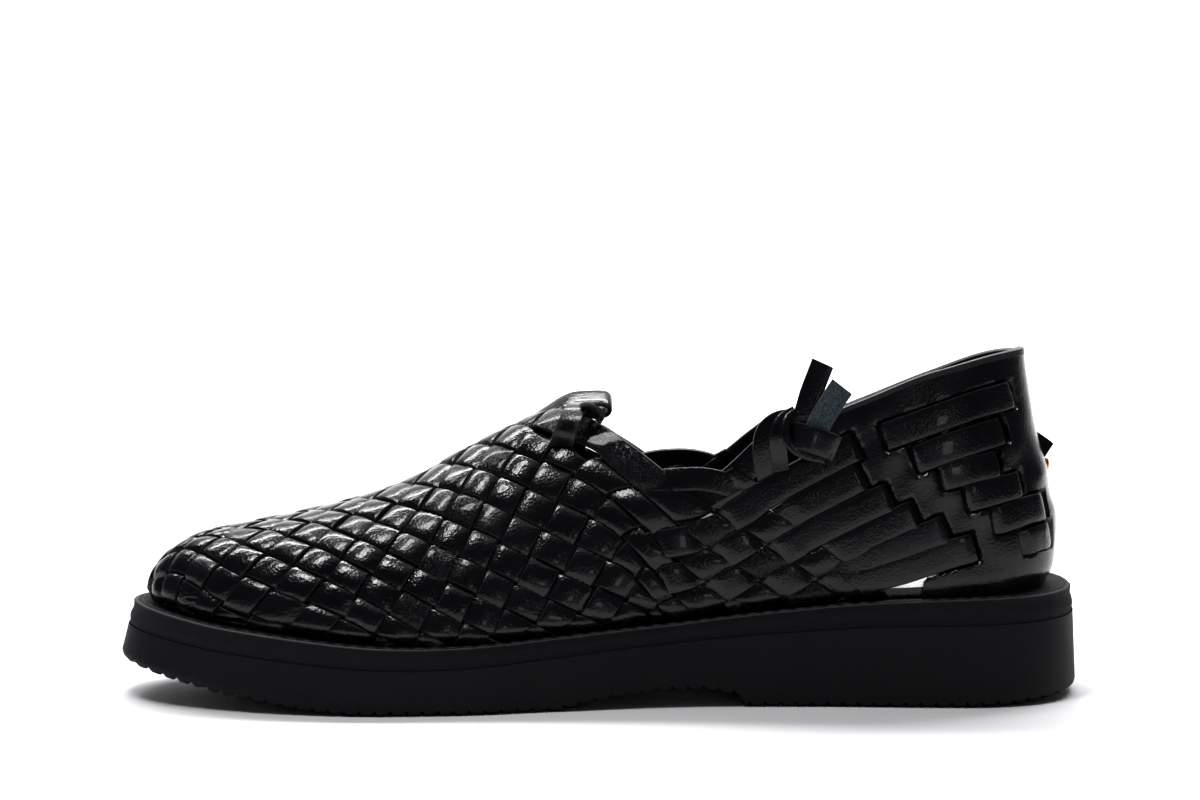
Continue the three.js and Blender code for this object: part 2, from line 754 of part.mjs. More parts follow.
// Place over the side of the upper, lifted off the surface
function overSide([at, up, lift], side) {
  const { place, normal } = sideFrame(station(at), up * COLLAR_HEIGHT, side);
  return place.addScaledVector(normal, lift + GAP + STRAP / 2).toArray();
}

// Loop rows: share of LENGTH, distance from the middle and lift off the vamp
const LOOP_BACK = [[0.455, 2, 0.6], [0.472, 2, 0.8], [0.492, 2, 0.9], [0.506, 2, 0.4], [0.513, 2, -2.2]];
const LOOP_FRONT = [[0.440, -9, 0.8], [0.456, -9, 1.6], [0.472, -9, 1.8], [0.486, -9, 1.0]];

function makeLoop(rows, slope) {
  return strip(rows.map(overCrown), [0, 1, slope], STRAP_WIDTH, STRAP);
}

// Tie rows: share of LENGTH, share of COLLAR_HEIGHT and lift off the wall
const KNOT_WRAP = [[0.688, 0.705, 0.6], [0.688, 0.740, 2.4], [0.690, 0.785, 2.6], [0.692, 0.818, 0.8]];
const KNOT_BAND = [[0.686, 0.782, 2.0], [0.700, 0.784, 4.4], [0.722, 0.774, 4.4], [0.738, 0.752, 0.8]];
const TAIL_DARK = [[0.706, 0.780, 1.6], [0.712, 0.835, 2.0], [0.719, 0.900, 2.6], [0.728, 0.970, 3.4]];
const TAIL_LIGHT = [[0.722, 0.765, 3.4], [0.730, 0.805, 4.2], [0.738, 0.855, 6.0], [0.747, 0.900, 7.5]];

// Flat strip of the tie, grown by `room` on every side where it serves as a cutter
function tieStrip(rows, across, room) {
  const route = rows.map((row) => new THREE.Vector3(...overSide(row, -1)));
  const last = route.length - 1;
  const start = route[0].clone().sub(route[1]).setLength(room || 1e-3);
  const end = route[last].clone().sub(route[last - 1]).setLength(room || 1e-3);
  route[0].add(start);
  route[last].add(end);
  return strip(route.map((point) => point.toArray()), across, TIE_WIDTH + 2 * room, STRAP + 2 * room);
}

function knotForm(room) {
  return tieStrip(KNOT_WRAP, [1, 0, 0], room).add(tieStrip(KNOT_BAND, [0.2, 0, 1], room));
}

function makeTail(rows, others) {
  const free = others.reduce((tail, other) => tail.subtract(other), tieStrip(rows, [1, 0, -0.35], 0));
  return free.decompose().sort((a, b) => b.volume() - a.volume())[0];
}

// Outer face of the counter at the back of the heel
const backFace = (z) => HEEL_END - LENGTH * backLeanShare(z / COLLAR_HEIGHT) - RELIEF;

function makeBackTab() {
  const rows = [[0.775, 0.2], [0.750, 1.6], [0.722, 2.8], [0.694, 2.2]];
  const route = rows.map(([up, lift]) => {
    const z = up * COLLAR_HEIGHT;
    return [backFace(z) + lift + GAP + STRAP / 2, upperOutline.middle(HEEL_END), z];
  });
  return strip(route, [0, 1, 0], STRAP_WIDTH, STRAP);
}

function makeRivet() {
  const z = RIVET_UP * COLLAR_HEIGHT;
  const profile = [
    [0, 0], [RIVET_RADIUS, 0], [RIVET_RADIUS, RIVET_HEAD * 0.4], [RIVET_RADIUS * 0.7, RIVET_HEAD * 0.85], [0, RIVET_HEAD],
  ].map(([radius, height]) => new THREE.Vector2(radius, height));
  const geometry = new THREE.LatheGeometry(profile, 20);
  geometry.rotateZ(-Math.PI / 2);
  geometry.translate(backFace(z - RIVET_RADIUS) + GAP, upperOutline.middle(HEEL_END), z);
  return solidOf(geometry);
}

// Insole

function makeInsole() {
  const heel = HEEL_END - leanAt(HEEL_END, HEEL_HEIGHT + INSOLE);
  const outline = outlineBetween(TOE_END, heel, WALL_FLARE + SIDE_LEDGE);
  const inset = () => Math.max(WALL, RELIEF + COUNTER_WALL) + INSOLE_EASE;
  return slab(outline, [
    { inset, height: (x) => soleTop(x) + GAP },
    { inset, height: (x) => soleTop(x) + GAP + INSOLE },
  ], 40);
}

// Object

const materials = {
  rubber: new THREE.MeshStandardMaterial({ color: 0x111112, roughness: 0.75 }),
  edge: new THREE.MeshStandardMaterial({ color: 0x17161a, roughness: 0.85 }),
  leather: new THREE.MeshStandardMaterial({ color: 0x0b0b0d, roughness: 0.32 }),
  flesh: new THREE.MeshStandardMaterial({ color: 0x2a3138, roughness: 0.9 }),
  brass: new THREE.MeshStandardMaterial({ color: 0xc9a04a, roughness: 0.3, metalness: 1 }),
};

const huarache = new THREE.Group();

function place(name, solid, material) {
  const mesh = new THREE.Mesh(geometryOf(solid), materials[material]);
  mesh.name = name;
  huarache.add(mesh);
}

place('outsole', makeOutsole(), 'rubber');
place('midsole', makeMidsole(), 'edge');
place('insole', makeInsole(), 'leather');
place('upper', makeUpper(), 'leather');
place('heel_counter', makeHeelCounter(), 'leather');
place('throat_loop_back', makeLoop(LOOP_BACK, -0.1), 'leather');
place('throat_loop_front', makeLoop(LOOP_FRONT, 0.55), 'leather');
place('tie_knot', knotForm(0), 'leather');
place('tie_tail_dark', makeTail(TAIL_DARK, [knotForm(GAP)]), 'leather');
place('tie_tail_light', makeTail(TAIL_LIGHT, [knotForm(GAP), tieStrip(TAIL_DARK, [1, 0, -0.35], GAP)]), 'flesh');
place('back_tab', makeBackTab(), 'leather');
place('rivet', makeRivet(), 'brass');

export default huarache;
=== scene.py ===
"""Hand-woven leather huarache, right shoe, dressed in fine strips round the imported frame."""
import math
from functools import cache

import bmesh
import bpy
import numpy as np
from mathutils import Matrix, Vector


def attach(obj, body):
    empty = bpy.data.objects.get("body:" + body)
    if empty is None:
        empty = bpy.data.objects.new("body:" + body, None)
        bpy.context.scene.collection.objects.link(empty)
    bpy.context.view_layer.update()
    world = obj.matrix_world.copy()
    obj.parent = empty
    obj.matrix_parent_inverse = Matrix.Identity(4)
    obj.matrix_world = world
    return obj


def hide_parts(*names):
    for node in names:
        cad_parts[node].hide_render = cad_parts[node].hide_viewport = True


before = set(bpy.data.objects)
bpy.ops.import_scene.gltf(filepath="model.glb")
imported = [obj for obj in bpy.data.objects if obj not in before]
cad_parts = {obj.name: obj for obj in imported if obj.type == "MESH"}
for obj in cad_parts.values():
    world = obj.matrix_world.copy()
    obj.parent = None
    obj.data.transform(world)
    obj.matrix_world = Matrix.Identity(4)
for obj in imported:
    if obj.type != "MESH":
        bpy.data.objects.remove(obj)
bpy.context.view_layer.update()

# Driving sizes in millimetres, the same as in the frame
LENGTH = 300.0
BALL_WIDTH = 106.0
HEEL_HEIGHT = 34.0
TOE_SPRING = 12.0
SPRING_SHARE = 0.25
ARCH_RISE = 5.3
HEEL_BEVEL = 2.5
BEVEL_SHARE = 0.85
MIDSOLE = 8.0
WALL_FLARE = 1.8
TOE_FLARE = 4.0
TOE_LEDGE = 4.0
SIDE_LEDGE = 4.0
HEEL_LEDGE = 4.5
INSTEP_HEIGHT = 92.0
COLLAR_HEIGHT = 108.0
PITCH = 13.9
QUARTER_PITCH = 18.7
CREST_INDEX = -1.0
POLE_INDEX = 1.5
LEAN = 0.4
GAP = 0.3
# Shares of LENGTH over which the heel starts to lean, power of the toe's rise, and how far the crest is read
LEAN_OVER = (0.62, 0.95)
SPRING_POWER = 1.4
CREST_SHARE = 0.62

# Plan of the sole: share of LENGTH, half width and middle as shares of BALL_WIDTH
PLAN = np.array([
    (0.00, 0.340, -0.084),
    (0.10, 0.390, -0.064),
    (0.20, 0.452, -0.036),
    (0.28, 0.493, -0.016),
    (0.36, 0.500, 0.008),
    (0.45, 0.463, 0.028),
    (0.55, 0.406, 0.026),
    (0.65, 0.368, 0.014),
    (0.75, 0.356, 0.000),
    (0.87, 0.358, -0.014),
    (1.00, 0.356, -0.014),
])
TOE_ROUND = (0.24, 2.3)
HEEL_ROUND = (0.13, 2.3)

# Side of the sole: share of LENGTH, top as a share of HEEL_HEIGHT, leather band as a share of MIDSOLE
SOLE_SIDE = np.array([
    (0.00, 0.900, 0.97),
    (0.13, 0.724, 0.90),
    (0.32, 0.590, 0.80),
    (0.56, 0.735, 0.69),
    (0.68, 0.853, 0.80),
    (0.79, 0.941, 0.92),
    (0.90, 0.982, 1.00),
    (1.00, 1.000, 1.00),
])
# Arch: share of LENGTH and share of ARCH_RISE
ARCH = np.array([
    (0.455, 0.00),
    (0.520, 0.68),
    (0.570, 0.95),
    (0.595, 1.00),
    (0.640, 0.66),
    (0.650, 0.00),
])
# Last: share of LENGTH, crest as a share of INSTEP_HEIGHT, powers of the section across and up
LAST = np.array([
    (0.00, 0.500, 2.30, 2.30),
    (0.08, 0.545, 2.30, 2.20),
    (0.20, 0.620, 2.20, 1.90),
    (0.29, 0.707, 2.00, 1.50),
    (0.37, 0.842, 1.90, 1.35),
    (0.45, 0.960, 1.90, 1.35),
    (0.50, 1.000, 1.95, 1.45),
    (0.60, 1.200, 2.20, 1.80),
    (0.72, 1.460, 2.30, 2.00),
    (1.00, 1.560, 2.30, 2.00),
])
TOE_CAP = (0.075, 2.4)
# Back of the heel: share of COLLAR_HEIGHT and forward lean as a share of LENGTH
BACK = np.array([
    (0.30, 0.0085),
    (0.38, 0.0020),
    (0.46, 0.0000),
    (0.65, 0.0110),
    (0.80, 0.0250),
    (1.00, 0.0350),
])


# Readings from the tables

def curve(table, column):
    """Smooth curve through one column of a table that never swings past its rows."""
    xs = table[:, 0]
    ys = table[:, column]
    secants = np.diff(ys) / np.diff(xs)
    slopes = np.empty_like(ys)
    slopes[0] = secants[0]
    slopes[-1] = secants[-1]
    before = secants[:-1]
    after = secants[1:]
    product = before * after
    total = np.where(before + after == 0, 1, before + after)
    slopes[1:-1] = np.where(product <= 0, 0, 2 * product / total)

    def read(x):
        inside = np.clip(x, xs[0], xs[-1])
        i = np.clip(np.searchsorted(xs, inside, side="left") - 1, 0, len(xs) - 2)
        span = xs[i + 1] - xs[i]
        t = (inside - xs[i]) / span
        start = (1 + 2 * t) * (1 - t) ** 2 * ys[i] + t * (1 - t) ** 2 * span * slopes[i]
        return start + t * t * (3 - 2 * t) * ys[i + 1] + t * t * (t - 1) * span * slopes[i + 1]

    return read


def share(x):
    return x / LENGTH + 0.5


def station(at):
    return (at - 0.5) * LENGTH


def ease(value, low, high):
    t = np.clip((value - low) / (high - low), 0, 1)
    return t * t * (3 - 2 * t)


def nose(at, rounding):
    reach, power = rounding
    t = np.clip((reach - at) / reach, 0, 1)
    return (1 - t ** power) ** (1 / power)


def unit(vectors):
    return vectors / np.maximum(np.linalg.norm(vectors, axis=-1, keepdims=True), 1e-9)


def run_along(points):
    """Length along a list of points up to each of them."""
    return np.concatenate([[0.0], np.cumsum(np.linalg.norm(np.diff(points, axis=0), axis=1))])


def read_along(points, run, length):
    """Places on a list of points, for lengths along it."""
    return np.stack([np.interp(length, run, column) for column in points.T], axis=-1)


plan_half = curve(PLAN, 1)
plan_middle = curve(PLAN, 2)
sole_top_share = curve(SOLE_SIDE, 1)
band_share = curve(SOLE_SIDE, 2)
arch_rise = curve(ARCH, 1)
crest_share = curve(LAST, 1)
across_power = curve(LAST, 2)
up_power = curve(LAST, 3)
back_lean_share = curve(BACK, 1)


# Sole and last

def sole_top(x):
    return sole_top_share(share(x)) * HEEL_HEIGHT


def sole_bottom(x):
    at = share(x)
    spring = TOE_SPRING * np.clip((SPRING_SHARE - at) / SPRING_SHARE, 0, 1) ** SPRING_POWER
    bevel = HEEL_BEVEL * np.clip((at - BEVEL_SHARE) / (1 - BEVEL_SHARE), 0, 1) ** 2
    return spring + ARCH_RISE * arch_rise(at) + bevel


class Outline:
    """Outline in plan between two ends, moved in by a trim."""

    def __init__(self, toe, heel, trim):
        self.toe = toe
        self.heel = heel
        self.trim = trim

    def half(self, x):
        at = (x - self.toe) / (self.heel - self.toe)
        full = plan_half(at) * BALL_WIDTH - self.trim
        return full * nose(at, TOE_ROUND) * nose(1 - at, HEEL_ROUND)

    def middle(self, x):
        return plan_middle((x - self.toe) / (self.heel - self.toe)) * BALL_WIDTH

    def at(self, angle, side):
        x = self.toe + (self.heel - self.toe) * (1 - np.cos(angle)) / 2
        hand = np.where(np.sin(angle) >= 0, side, -side)
        return np.stack([x, self.middle(x) + hand * self.half(x)], axis=-1)

    def point(self, angle, side, inset):
        step = 0.01
        tangent = unit(self.at(angle + step, side) - self.at(angle - step, side))
        inward = np.stack([side * tangent[..., 1], -side * tangent[..., 0]], axis=-1)
        return self.at(angle, side) + inward * np.asarray(inset)[..., None]


TOE_END = -LENGTH / 2 + TOE_FLARE + TOE_LEDGE
HEEL_END = LENGTH / 2 - WALL_FLARE - HEEL_LEDGE
SOLE_OUTLINE = Outline(-LENGTH / 2, LENGTH / 2, 0.0)
UPPER_OUTLINE = Outline(TOE_END, HEEL_END, WALL_FLARE + SIDE_LEDGE)


def feather(x):
    return sole_top(x) + GAP


def crest(x):
    full = crest_share(share(x)) * INSTEP_HEIGHT
    return feather(x) + (full - feather(x)) * nose(share(x) - share(TOE_END), TOE_CAP)


def lean_at(x, z):
    return LENGTH * back_lean_share(z / COLLAR_HEIGHT) * ease(share(x), *LEAN_OVER)


def straight_half(x, z):
    """Half width of the last before its heel is leaned."""
    low = feather(x)
    up = np.clip((z - low) / (crest(x) - low), 0, 1)
    at = share(x)
    return UPPER_OUTLINE.half(x) * (1 - up ** up_power(at)) ** (1 / across_power(at))


def half_width(x, z):
    return straight_half(x + lean_at(x, z), z)


def side_point(x, z, side):
    return np.stack([x, UPPER_OUTLINE.middle(x) + side * half_width(x, z), z], axis=-1)


def roof(x, across):
    half = UPPER_OUTLINE.half(x)
    out = np.clip(np.abs(across) / np.maximum(half, 0.01), 0, 1)
    at = share(x)
    return feather(x) + (crest(x) - feather(x)) * (1 - out ** across_power(at)) ** (1 / up_power(at))


def crest_line():
    x = TOE_END + LENGTH * CREST_SHARE * np.linspace(0, 1, 600) ** 2
    z = crest(x)
    steps = np.hypot(np.diff(x), np.diff(z))
    return x, np.concatenate([[0.0], np.cumsum(steps)])


CREST_X, CREST_RUN = crest_line()


def crest_x(length):
    return np.interp(length, CREST_RUN, CREST_X)


RIB_STEPS = 72
RIB_DEPTHS = np.linspace(0, 140, 1400)
SKIRT = 14.0
LEAN_ROWS = 2.5


def arc_reader(points):
    """Function from length along a list of points to the place there."""
    run = run_along(points)
    return lambda length: read_along(points, run, length)


def toe_rib(angle, side):
    pole = crest_x((POLE_INDEX - CREST_INDEX) * PITCH)
    low = 0.0
    high = LENGTH / 4
    for _ in range(40):
        middle = (low + high) / 2
        x = pole - math.cos(angle) * middle
        if x > TOE_END and math.sin(angle) * middle < UPPER_OUTLINE.half(x):
            low = middle
        else:
            high = middle
    reach = low * np.sin(np.linspace(0, math.pi / 2, RIB_STEPS))
    x = pole - math.cos(angle) * reach
    across = math.sin(angle) * reach
    points = np.stack([x, UPPER_OUTLINE.middle(x) + side * across, roof(x, across)], axis=-1)
    points[-1, 2] = feather(points[-1, 0])
    end = points[-1] - np.array([0, 0, SKIRT])
    return arc_reader(np.vstack([points, end]))


def vamp_rib(row, side):
    start_x = crest_x((row - CREST_INDEX) * PITCH)
    start_z = crest(start_x)
    tilt = LEAN * ease(row, POLE_INDEX, POLE_INDEX + LEAN_ROWS)
    below = start_z - RIB_DEPTHS * math.cos(tilt) <= feather(start_x + RIB_DEPTHS * math.sin(tilt))
    foot = RIB_DEPTHS[np.argmax(below)]
    depth = np.append(foot * np.linspace(0, 1, RIB_STEPS) ** 2, foot + SKIRT)
    x = start_x + depth * math.sin(tilt)
    z = start_z - depth * math.cos(tilt)
    points = side_point(x, z, side)
    points[0, 1] = UPPER_OUTLINE.middle(start_x)
    return arc_reader(points)


# Quarter: row and out of one place on it, its shares of LENGTH and COLLAR_HEIGHT, and the steps from there
QUARTER_ROW = 11
QUARTER_OUT = 2.5
QUARTER_AT = (0.581, 0.521)
QUARTER_TRIM = 0.5
ROW_FALL = 1.8
OUT_FORWARD = 0.9
OUT_SHARE = 0.8


def quarter_place(row, out):
    back = row - QUARTER_ROW
    down = out - QUARTER_OUT
    x = station(QUARTER_AT[0]) + back * (QUARTER_PITCH - QUARTER_TRIM) - down * OUT_FORWARD
    z = COLLAR_HEIGHT * QUARTER_AT[1] - back * ROW_FALL - down * PITCH * OUT_SHARE
    return x, z


# Woven wall: a grid of places over (row along the foot, out from the crest) for each side

ROW_FROM, ROW_TO, OUT_FROM, OUT_TO, GRID_STEP = -3.0, 16.5, -3.0, 8.0, 0.125
ROWS = np.arange(ROW_FROM, ROW_TO + GRID_STEP / 2, GRID_STEP)
OUTS = np.arange(OUT_FROM, OUT_TO + GRID_STEP / 2, GRID_STEP)
TOE_RIBS = 90
# Rows over which the vamp goes over into the quarter, the same at the crest, and how far out the crest counts
QUARTER_BLEND = (9.5, 11.5)
CREST_BLEND = (10.5, 11.5)
CREST_OUTS = (0.5, 2)


def wall_grid(side):
    grid = np.zeros((len(ROWS), len(OUTS), 3))
    angles = np.linspace(0, math.pi / 2, TOE_RIBS + 1)
    toe_ribs = {hand: [toe_rib(angle, hand) for angle in angles] for hand in (-1, 1)}
    hands = np.where(OUTS < 0, -side, side)
    away = np.abs(OUTS)
    for i, row in enumerate(ROWS):
        if row < POLE_INDEX:
            reach = np.hypot(POLE_INDEX - row, OUTS) * PITCH
            spot = np.arctan2(away, POLE_INDEX - row) / (math.pi / 2) * TOE_RIBS
            low = np.minimum(spot.astype(int), TOE_RIBS - 1)
            for j, hand in enumerate(hands):
                ribs = toe_ribs[hand]
                t = spot[j] - low[j]
                grid[i, j] = ribs[low[j]](reach[j]) * (1 - t) + ribs[low[j] + 1](reach[j]) * t
            continue
        at_crest = (1 - ease(OUTS, *CREST_OUTS)) * (1 - ease(row, *CREST_BLEND))
        blend = ease(row, *QUARTER_BLEND) * (1 - at_crest)
        own = vamp_rib(row, side)
        vamp = np.where((OUTS < 0)[:, None], vamp_rib(row, -side)(away * PITCH), own(away * PITCH))
        x, z = quarter_place(row, OUTS)
        below = own(np.maximum(OUTS, 0) * PITCH)
        x = below[:, 0] * (1 - blend) + x * blend
        z = below[:, 2] * (1 - blend) + z * blend
        grid[i] = np.where((blend > 0)[:, None], side_point(x, z, side), vamp)
    return grid


def smooth_read(grid, row, out):
    """Catmull-Rom reading of a grid at fractional rows and outs."""
    r = np.clip((row - ROW_FROM) / GRID_STEP, 1, grid.shape[0] - 2.001)
    o = np.clip((out - OUT_FROM) / GRID_STEP, 1, grid.shape[1] - 2.001)
    i = r.astype(int)
    j = o.astype(int)

    def weights(t):
        return (
            -0.5 * t ** 3 + t ** 2 - 0.5 * t,
            1.5 * t ** 3 - 2.5 * t ** 2 + 1,
            -1.5 * t ** 3 + 2 * t ** 2 + 0.5 * t,
            0.5 * t ** 3 - 0.5 * t ** 2,
        )

    across = weights(o - j)
    result = 0
    for n, along in enumerate(weights(r - i)):
        line = sum(w[..., None] * grid[i + n - 1, np.minimum(j + m - 1, grid.shape[1] - 1)]
                   for m, w in enumerate(across))
        result = result + along[..., None] * line
    return result


GRIDS = {side: wall_grid(side) for side in (-1, 1)}


def wall(row, out, side, offset):
    """Place on the woven wall, moved out along its normal."""
    grid = GRIDS[side]
    step = 0.12
    along = smooth_read(grid, row + step, out) - smooth_read(grid, row - step, out)
    down = smooth_read(grid, row, out + step) - smooth_read(grid, row, out - step)
    return smooth_read(grid, row, out) + unit(np.cross(along, down) * side) * offset[..., None]


def side_wall(x, z, side, offset):
    """Place on the last's side for a place in the side view, moved out along its normal."""
    step = 0.5
    along = side_point(x + step, z, side) - side_point(x - step, z, side)
    up = side_point(x, z + step, side) - side_point(x, z - step, side)
    return side_point(x, z, side) + unit(np.cross(along, up) * -side) * offset[..., None]


# Camera of the photograph, a little above the collar and tipped down to the middle of the shoe

CAMERA_AWAY = 1027.0
CAMERA_UP = 190.0
CAMERA_AIM = 91.0
FOCAL = 98.2
SENSOR = 36.0
FRAME_WIDE = 1200
FRAME_HIGH = 800
CAMERA_SPOT = np.array([0.0, -CAMERA_AWAY, CAMERA_UP])
CAMERA_AHEAD = unit(np.array([0.0, CAMERA_AWAY, CAMERA_AIM - CAMERA_UP]))
CAMERA_TOP = np.array([0.0, -CAMERA_AHEAD[2], CAMERA_AHEAD[1]])
CAMERA_SCALE = FOCAL / SENSOR * FRAME_WIDE


def seen(places):
    """Places in the photograph's frame for places round the shoe."""
    away = places - CAMERA_SPOT
    scale = CAMERA_SCALE / (away @ CAMERA_AHEAD)
    right = FRAME_WIDE / 2 + away[..., 0] * scale
    down = FRAME_HIGH / 2 - (away @ CAMERA_TOP) * scale
    return np.stack([right, down], axis=-1)


def in_plane(px, py, across):
    """Place at this distance from the middle that shows at a point of the photograph."""
    right = np.array([px - FRAME_WIDE / 2, 0, 0])
    ray = CAMERA_AHEAD * CAMERA_SCALE + right + CAMERA_TOP * (FRAME_HIGH / 2 - py)
    return CAMERA_SPOT + ray / ray[1] * (across + CAMERA_AWAY)


# How far the near side is from the middle, about
NEAR_SIDE = -24.0


def from_photo(px, py):
    """Place in the side view where the near side of the last shows at a point of the photograph."""
    across = NEAR_SIDE
    for _ in range(24):
        x, _, z = in_plane(px, py, across)
        across += 0.5 * (float(side_point(x, z, -1)[1]) - across)
    return x, z


def beside(px, py):
    """Place in the side view for what stands free beside the near side."""
    x, _, z = in_plane(px, py, NEAR_SIDE)
    return x, z


# Edges of the woven strips read in the photograph: for the edge line with this number along the rise,
# the number of the first line it crosses and the crossings from the sole up
CROSSINGS = {
    1: (0, [(178, 577), (192, 549), (222, 533)]),
    2: (0, [(201, 586), (220, 560), (240, 541), (268, 528)]),
    3: (0, [(234, 597), (246, 572), (262, 552), (285, 536), (311, 524)]),
    4: (0, [(261, 604), (272, 588), (291, 569), (309, 546), (330, 531), (356, 515)]),
    5: (0, [(290, 616), (310, 594), (320, 581), (337, 560), (356, 541), (376, 520), (397, 501)]),
    6: (1, [(352, 611), (357, 597), (367, 574), (383, 553), (400, 531), (419, 507), (436, 484)]),
    7: (2, [(390, 612), (407, 592), (412, 566), (430, 542), (443, 513), (459, 488), (474, 465)]),
    8: (2, [(422, 627), (441, 607), (448, 582), (459, 555), (470, 528), (483, 500), (497, 470), (513, 449)]),
    9: (3, [(465, 622), (476, 595), (488, 569), (499, 543), (513, 515), (526, 483), (535, 456)]),
    10: (3, [(494, 630), (504, 609), (518, 585), (531, 558), (540, 530), (553, 500), (562, 472)]),
    11: (4, [(531, 622), (544, 599), (565, 579), (581, 556), (597, 530), (620, 513), (658, 502), (680, 490)]),
    12: (8, [(630, 557), (650, 541), (680, 524), (711, 509), (757, 486)]),
    13: (8, [(661, 580), (680, 564), (711, 546), (738, 524), (784, 503)]),
    14: (8, [(679, 598), (703, 581), (728, 564), (767, 547), (805, 522)]),
    15: (9, [(724, 594), (757, 575), (781, 560), (828, 544)]),
    16: (11, [(814, 571), (840, 557), (870, 545)]),
}
LINE_SHIFT = 1.5
NEAREST = 4
WARP_REACH = 1.1
WARP_CALM = 0.00035
# Weights over which a shift comes to count, and the same for the distance from the crest
WARP_TRUST = (0.02, 0.4)
WARP_AWAY = (0.0, 1.2)
# Share of a shift along the foot that is kept at the crest
CREST_SHIFT = 0.4


def read_warp():
    """Shifts in row and out that bring the regular lattice to the crossings read in the photograph."""
    row_mesh, out_mesh = np.meshgrid(ROWS, OUTS, indexing="ij")
    shown = out_mesh > 0
    flat = seen(GRIDS[-1][shown])
    spots = np.column_stack([row_mesh[shown], out_mesh[shown]])
    places, shifts = [], []
    for line, (first, points) in CROSSINGS.items():
        for k, point in enumerate(points):
            a = line + LINE_SHIFT
            b = first + k - LINE_SHIFT
            regular = np.array([(a + b) / 2, (a - b) / 2])
            gap = np.linalg.norm(flat - np.array(point), axis=1)
            near = np.argsort(gap)[:NEAREST]
            weight = 1 / (gap[near] + 0.3)
            found = (spots[near] * weight[:, None]).sum(axis=0) / weight.sum()
            places.append(regular)
            shifts.append(found - regular)
    return np.array(places), np.array(shifts)


WARP_PLACES, WARP_SHIFTS = read_warp()


def warped(row, out):
    """Row and out after the shift, the same on both sides of the crest."""
    away = np.abs(out)
    gap = (row[..., None] - WARP_PLACES[:, 0]) ** 2 + (away[..., None] - WARP_PLACES[:, 1]) ** 2
    weight = np.exp(-gap / (2 * WARP_REACH ** 2)) + 1e-9
    total = weight.sum(axis=-1) + WARP_CALM
    shift = (weight[..., None] * WARP_SHIFTS).sum(axis=-2) / total[..., None]
    trust = ease(weight.max(axis=-1), *WARP_TRUST)
    free = ease(away, *WARP_AWAY)
    row = row + shift[..., 0] * trust * (CREST_SHIFT + (1 - CREST_SHIFT) * free)
    return row, np.sign(out) * (away + shift[..., 1] * trust * free)


def lattice(a, b, offset=0.0):
    """Place on the woven wall for a place between the strips, on either side of the crest."""
    a, b, offset = np.broadcast_arrays(np.asarray(a, float), np.asarray(b, float), np.asarray(offset, float))
    row, out = warped((a + b) / 2, (a - b) / 2)
    near = wall(row, np.abs(out), -1, offset)
    far = wall(row, np.abs(out), 1, offset)
    return np.where((out >= 0)[..., None], near, far)


# Pieces made of rings and sheets

MM = 0.001
RNG = np.random.default_rng(11)


class Piece:
    """Mesh gathered from closed tubes and sheets, with a shade for each strip and a mark on its edges."""

    def __init__(self):
        self.points = []
        self.faces = []
        self.shade = []
        self.rim = []

    def add(self, points, faces, shade, rim):
        start = sum(len(part) for part in self.points)
        self.points.append(points)
        self.faces.extend([tuple(int(n) + start for n in face) for face in faces])
        self.shade.append(np.full(len(points), shade))
        self.rim.append(np.broadcast_to(rim, len(points)).astype(float))

    def tube(self, rings, rim, shade):
        """Closed tube through rings of the same count; rim is one mark for each corner of a ring."""
        count, corners = rings.shape[:2]
        index = np.arange(count * corners).reshape(count, corners)
        turned = np.roll(index, -1, axis=1)
        quads = np.stack([index[:-1], turned[:-1], turned[1:], index[1:]], axis=-1).reshape(-1, 4)
        faces = quads.tolist() + [index[0][::-1].tolist(), index[-1].tolist()]
        marks = np.tile(np.broadcast_to(rim, corners), count)
        self.add(rings.reshape(-1, 3), faces, shade, marks)

    def sheet(self, grid, rim, shade):
        """Open sheet over a grid of places; rim is one mark, or one for each place."""
        rows, columns = grid.shape[:2]
        index = np.arange(rows * columns).reshape(rows, columns)
        quads = np.stack([index[:-1, :-1], index[:-1, 1:], index[1:, 1:], index[1:, :-1]], axis=-1)
        self.add(grid.reshape(-1, 3), quads.reshape(-1, 4).tolist(), shade, rim)

    def build(self, name, material, slot, *nodes, smooth=40):
        mesh = bpy.data.meshes.new(name)
        mesh.from_pydata((np.vstack(self.points) * MM).tolist(), [], self.faces)
        for label, values in (("shade", self.shade), ("rim", self.rim)):
            layer = mesh.attributes.new(label, "FLOAT", "POINT")
            layer.data.foreach_set("value", np.concatenate(values).astype(np.float32))
        mesh.materials.append(material)
        mesh.polygons.foreach_set("use_smooth", np.ones(len(mesh.polygons), dtype=bool))
        mesh.set_sharp_from_angle(angle=math.radians(smooth))
        piece = bpy.data.objects.new(name, mesh)
        bpy.context.scene.collection.objects.link(piece)
        tidy = bmesh.new()
        tidy.from_mesh(mesh)
        bmesh.ops.recalc_face_normals(tidy, faces=tidy.faces)
        tidy.to_mesh(mesh)
        tidy.free()
        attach(piece, "root")
        if nodes:
            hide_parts(*nodes)
        return piece


# Section of a strip: share of half the width, share of half the thickness, mark of the cut edge
STRIP_SECTION = np.array([
    (-1.00, 0.05, 1.0),
    (-0.95, 0.72, 0.8),
    (-0.80, 0.95, 0.1),
    (-0.40, 1.02, 0.0),
    (0.00, 1.05, 0.0),
    (0.40, 1.02, 0.0),
    (0.80, 0.95, 0.1),
    (0.95, 0.72, 0.8),
    (1.00, 0.05, 1.0),
    (0.94, -0.80, 0.9),
    (0.00, -1.00, 0.3),
    (-0.94, -0.80, 0.9),
])
STRIP_THICK = 1.7
STRIP_FILL = 0.455
WEAVE_DEPTH = 1.6
WEAVE_SWING = 1.05
WEAVE_FLAT = 0.5
WEAVE_VARY = 0.16
RUN_STEPS = 24
CELL_STEPS = 9
ROUTE_STEPS = 24
LAST_CROSSING = 10.5
PEEP_AT = 11.4
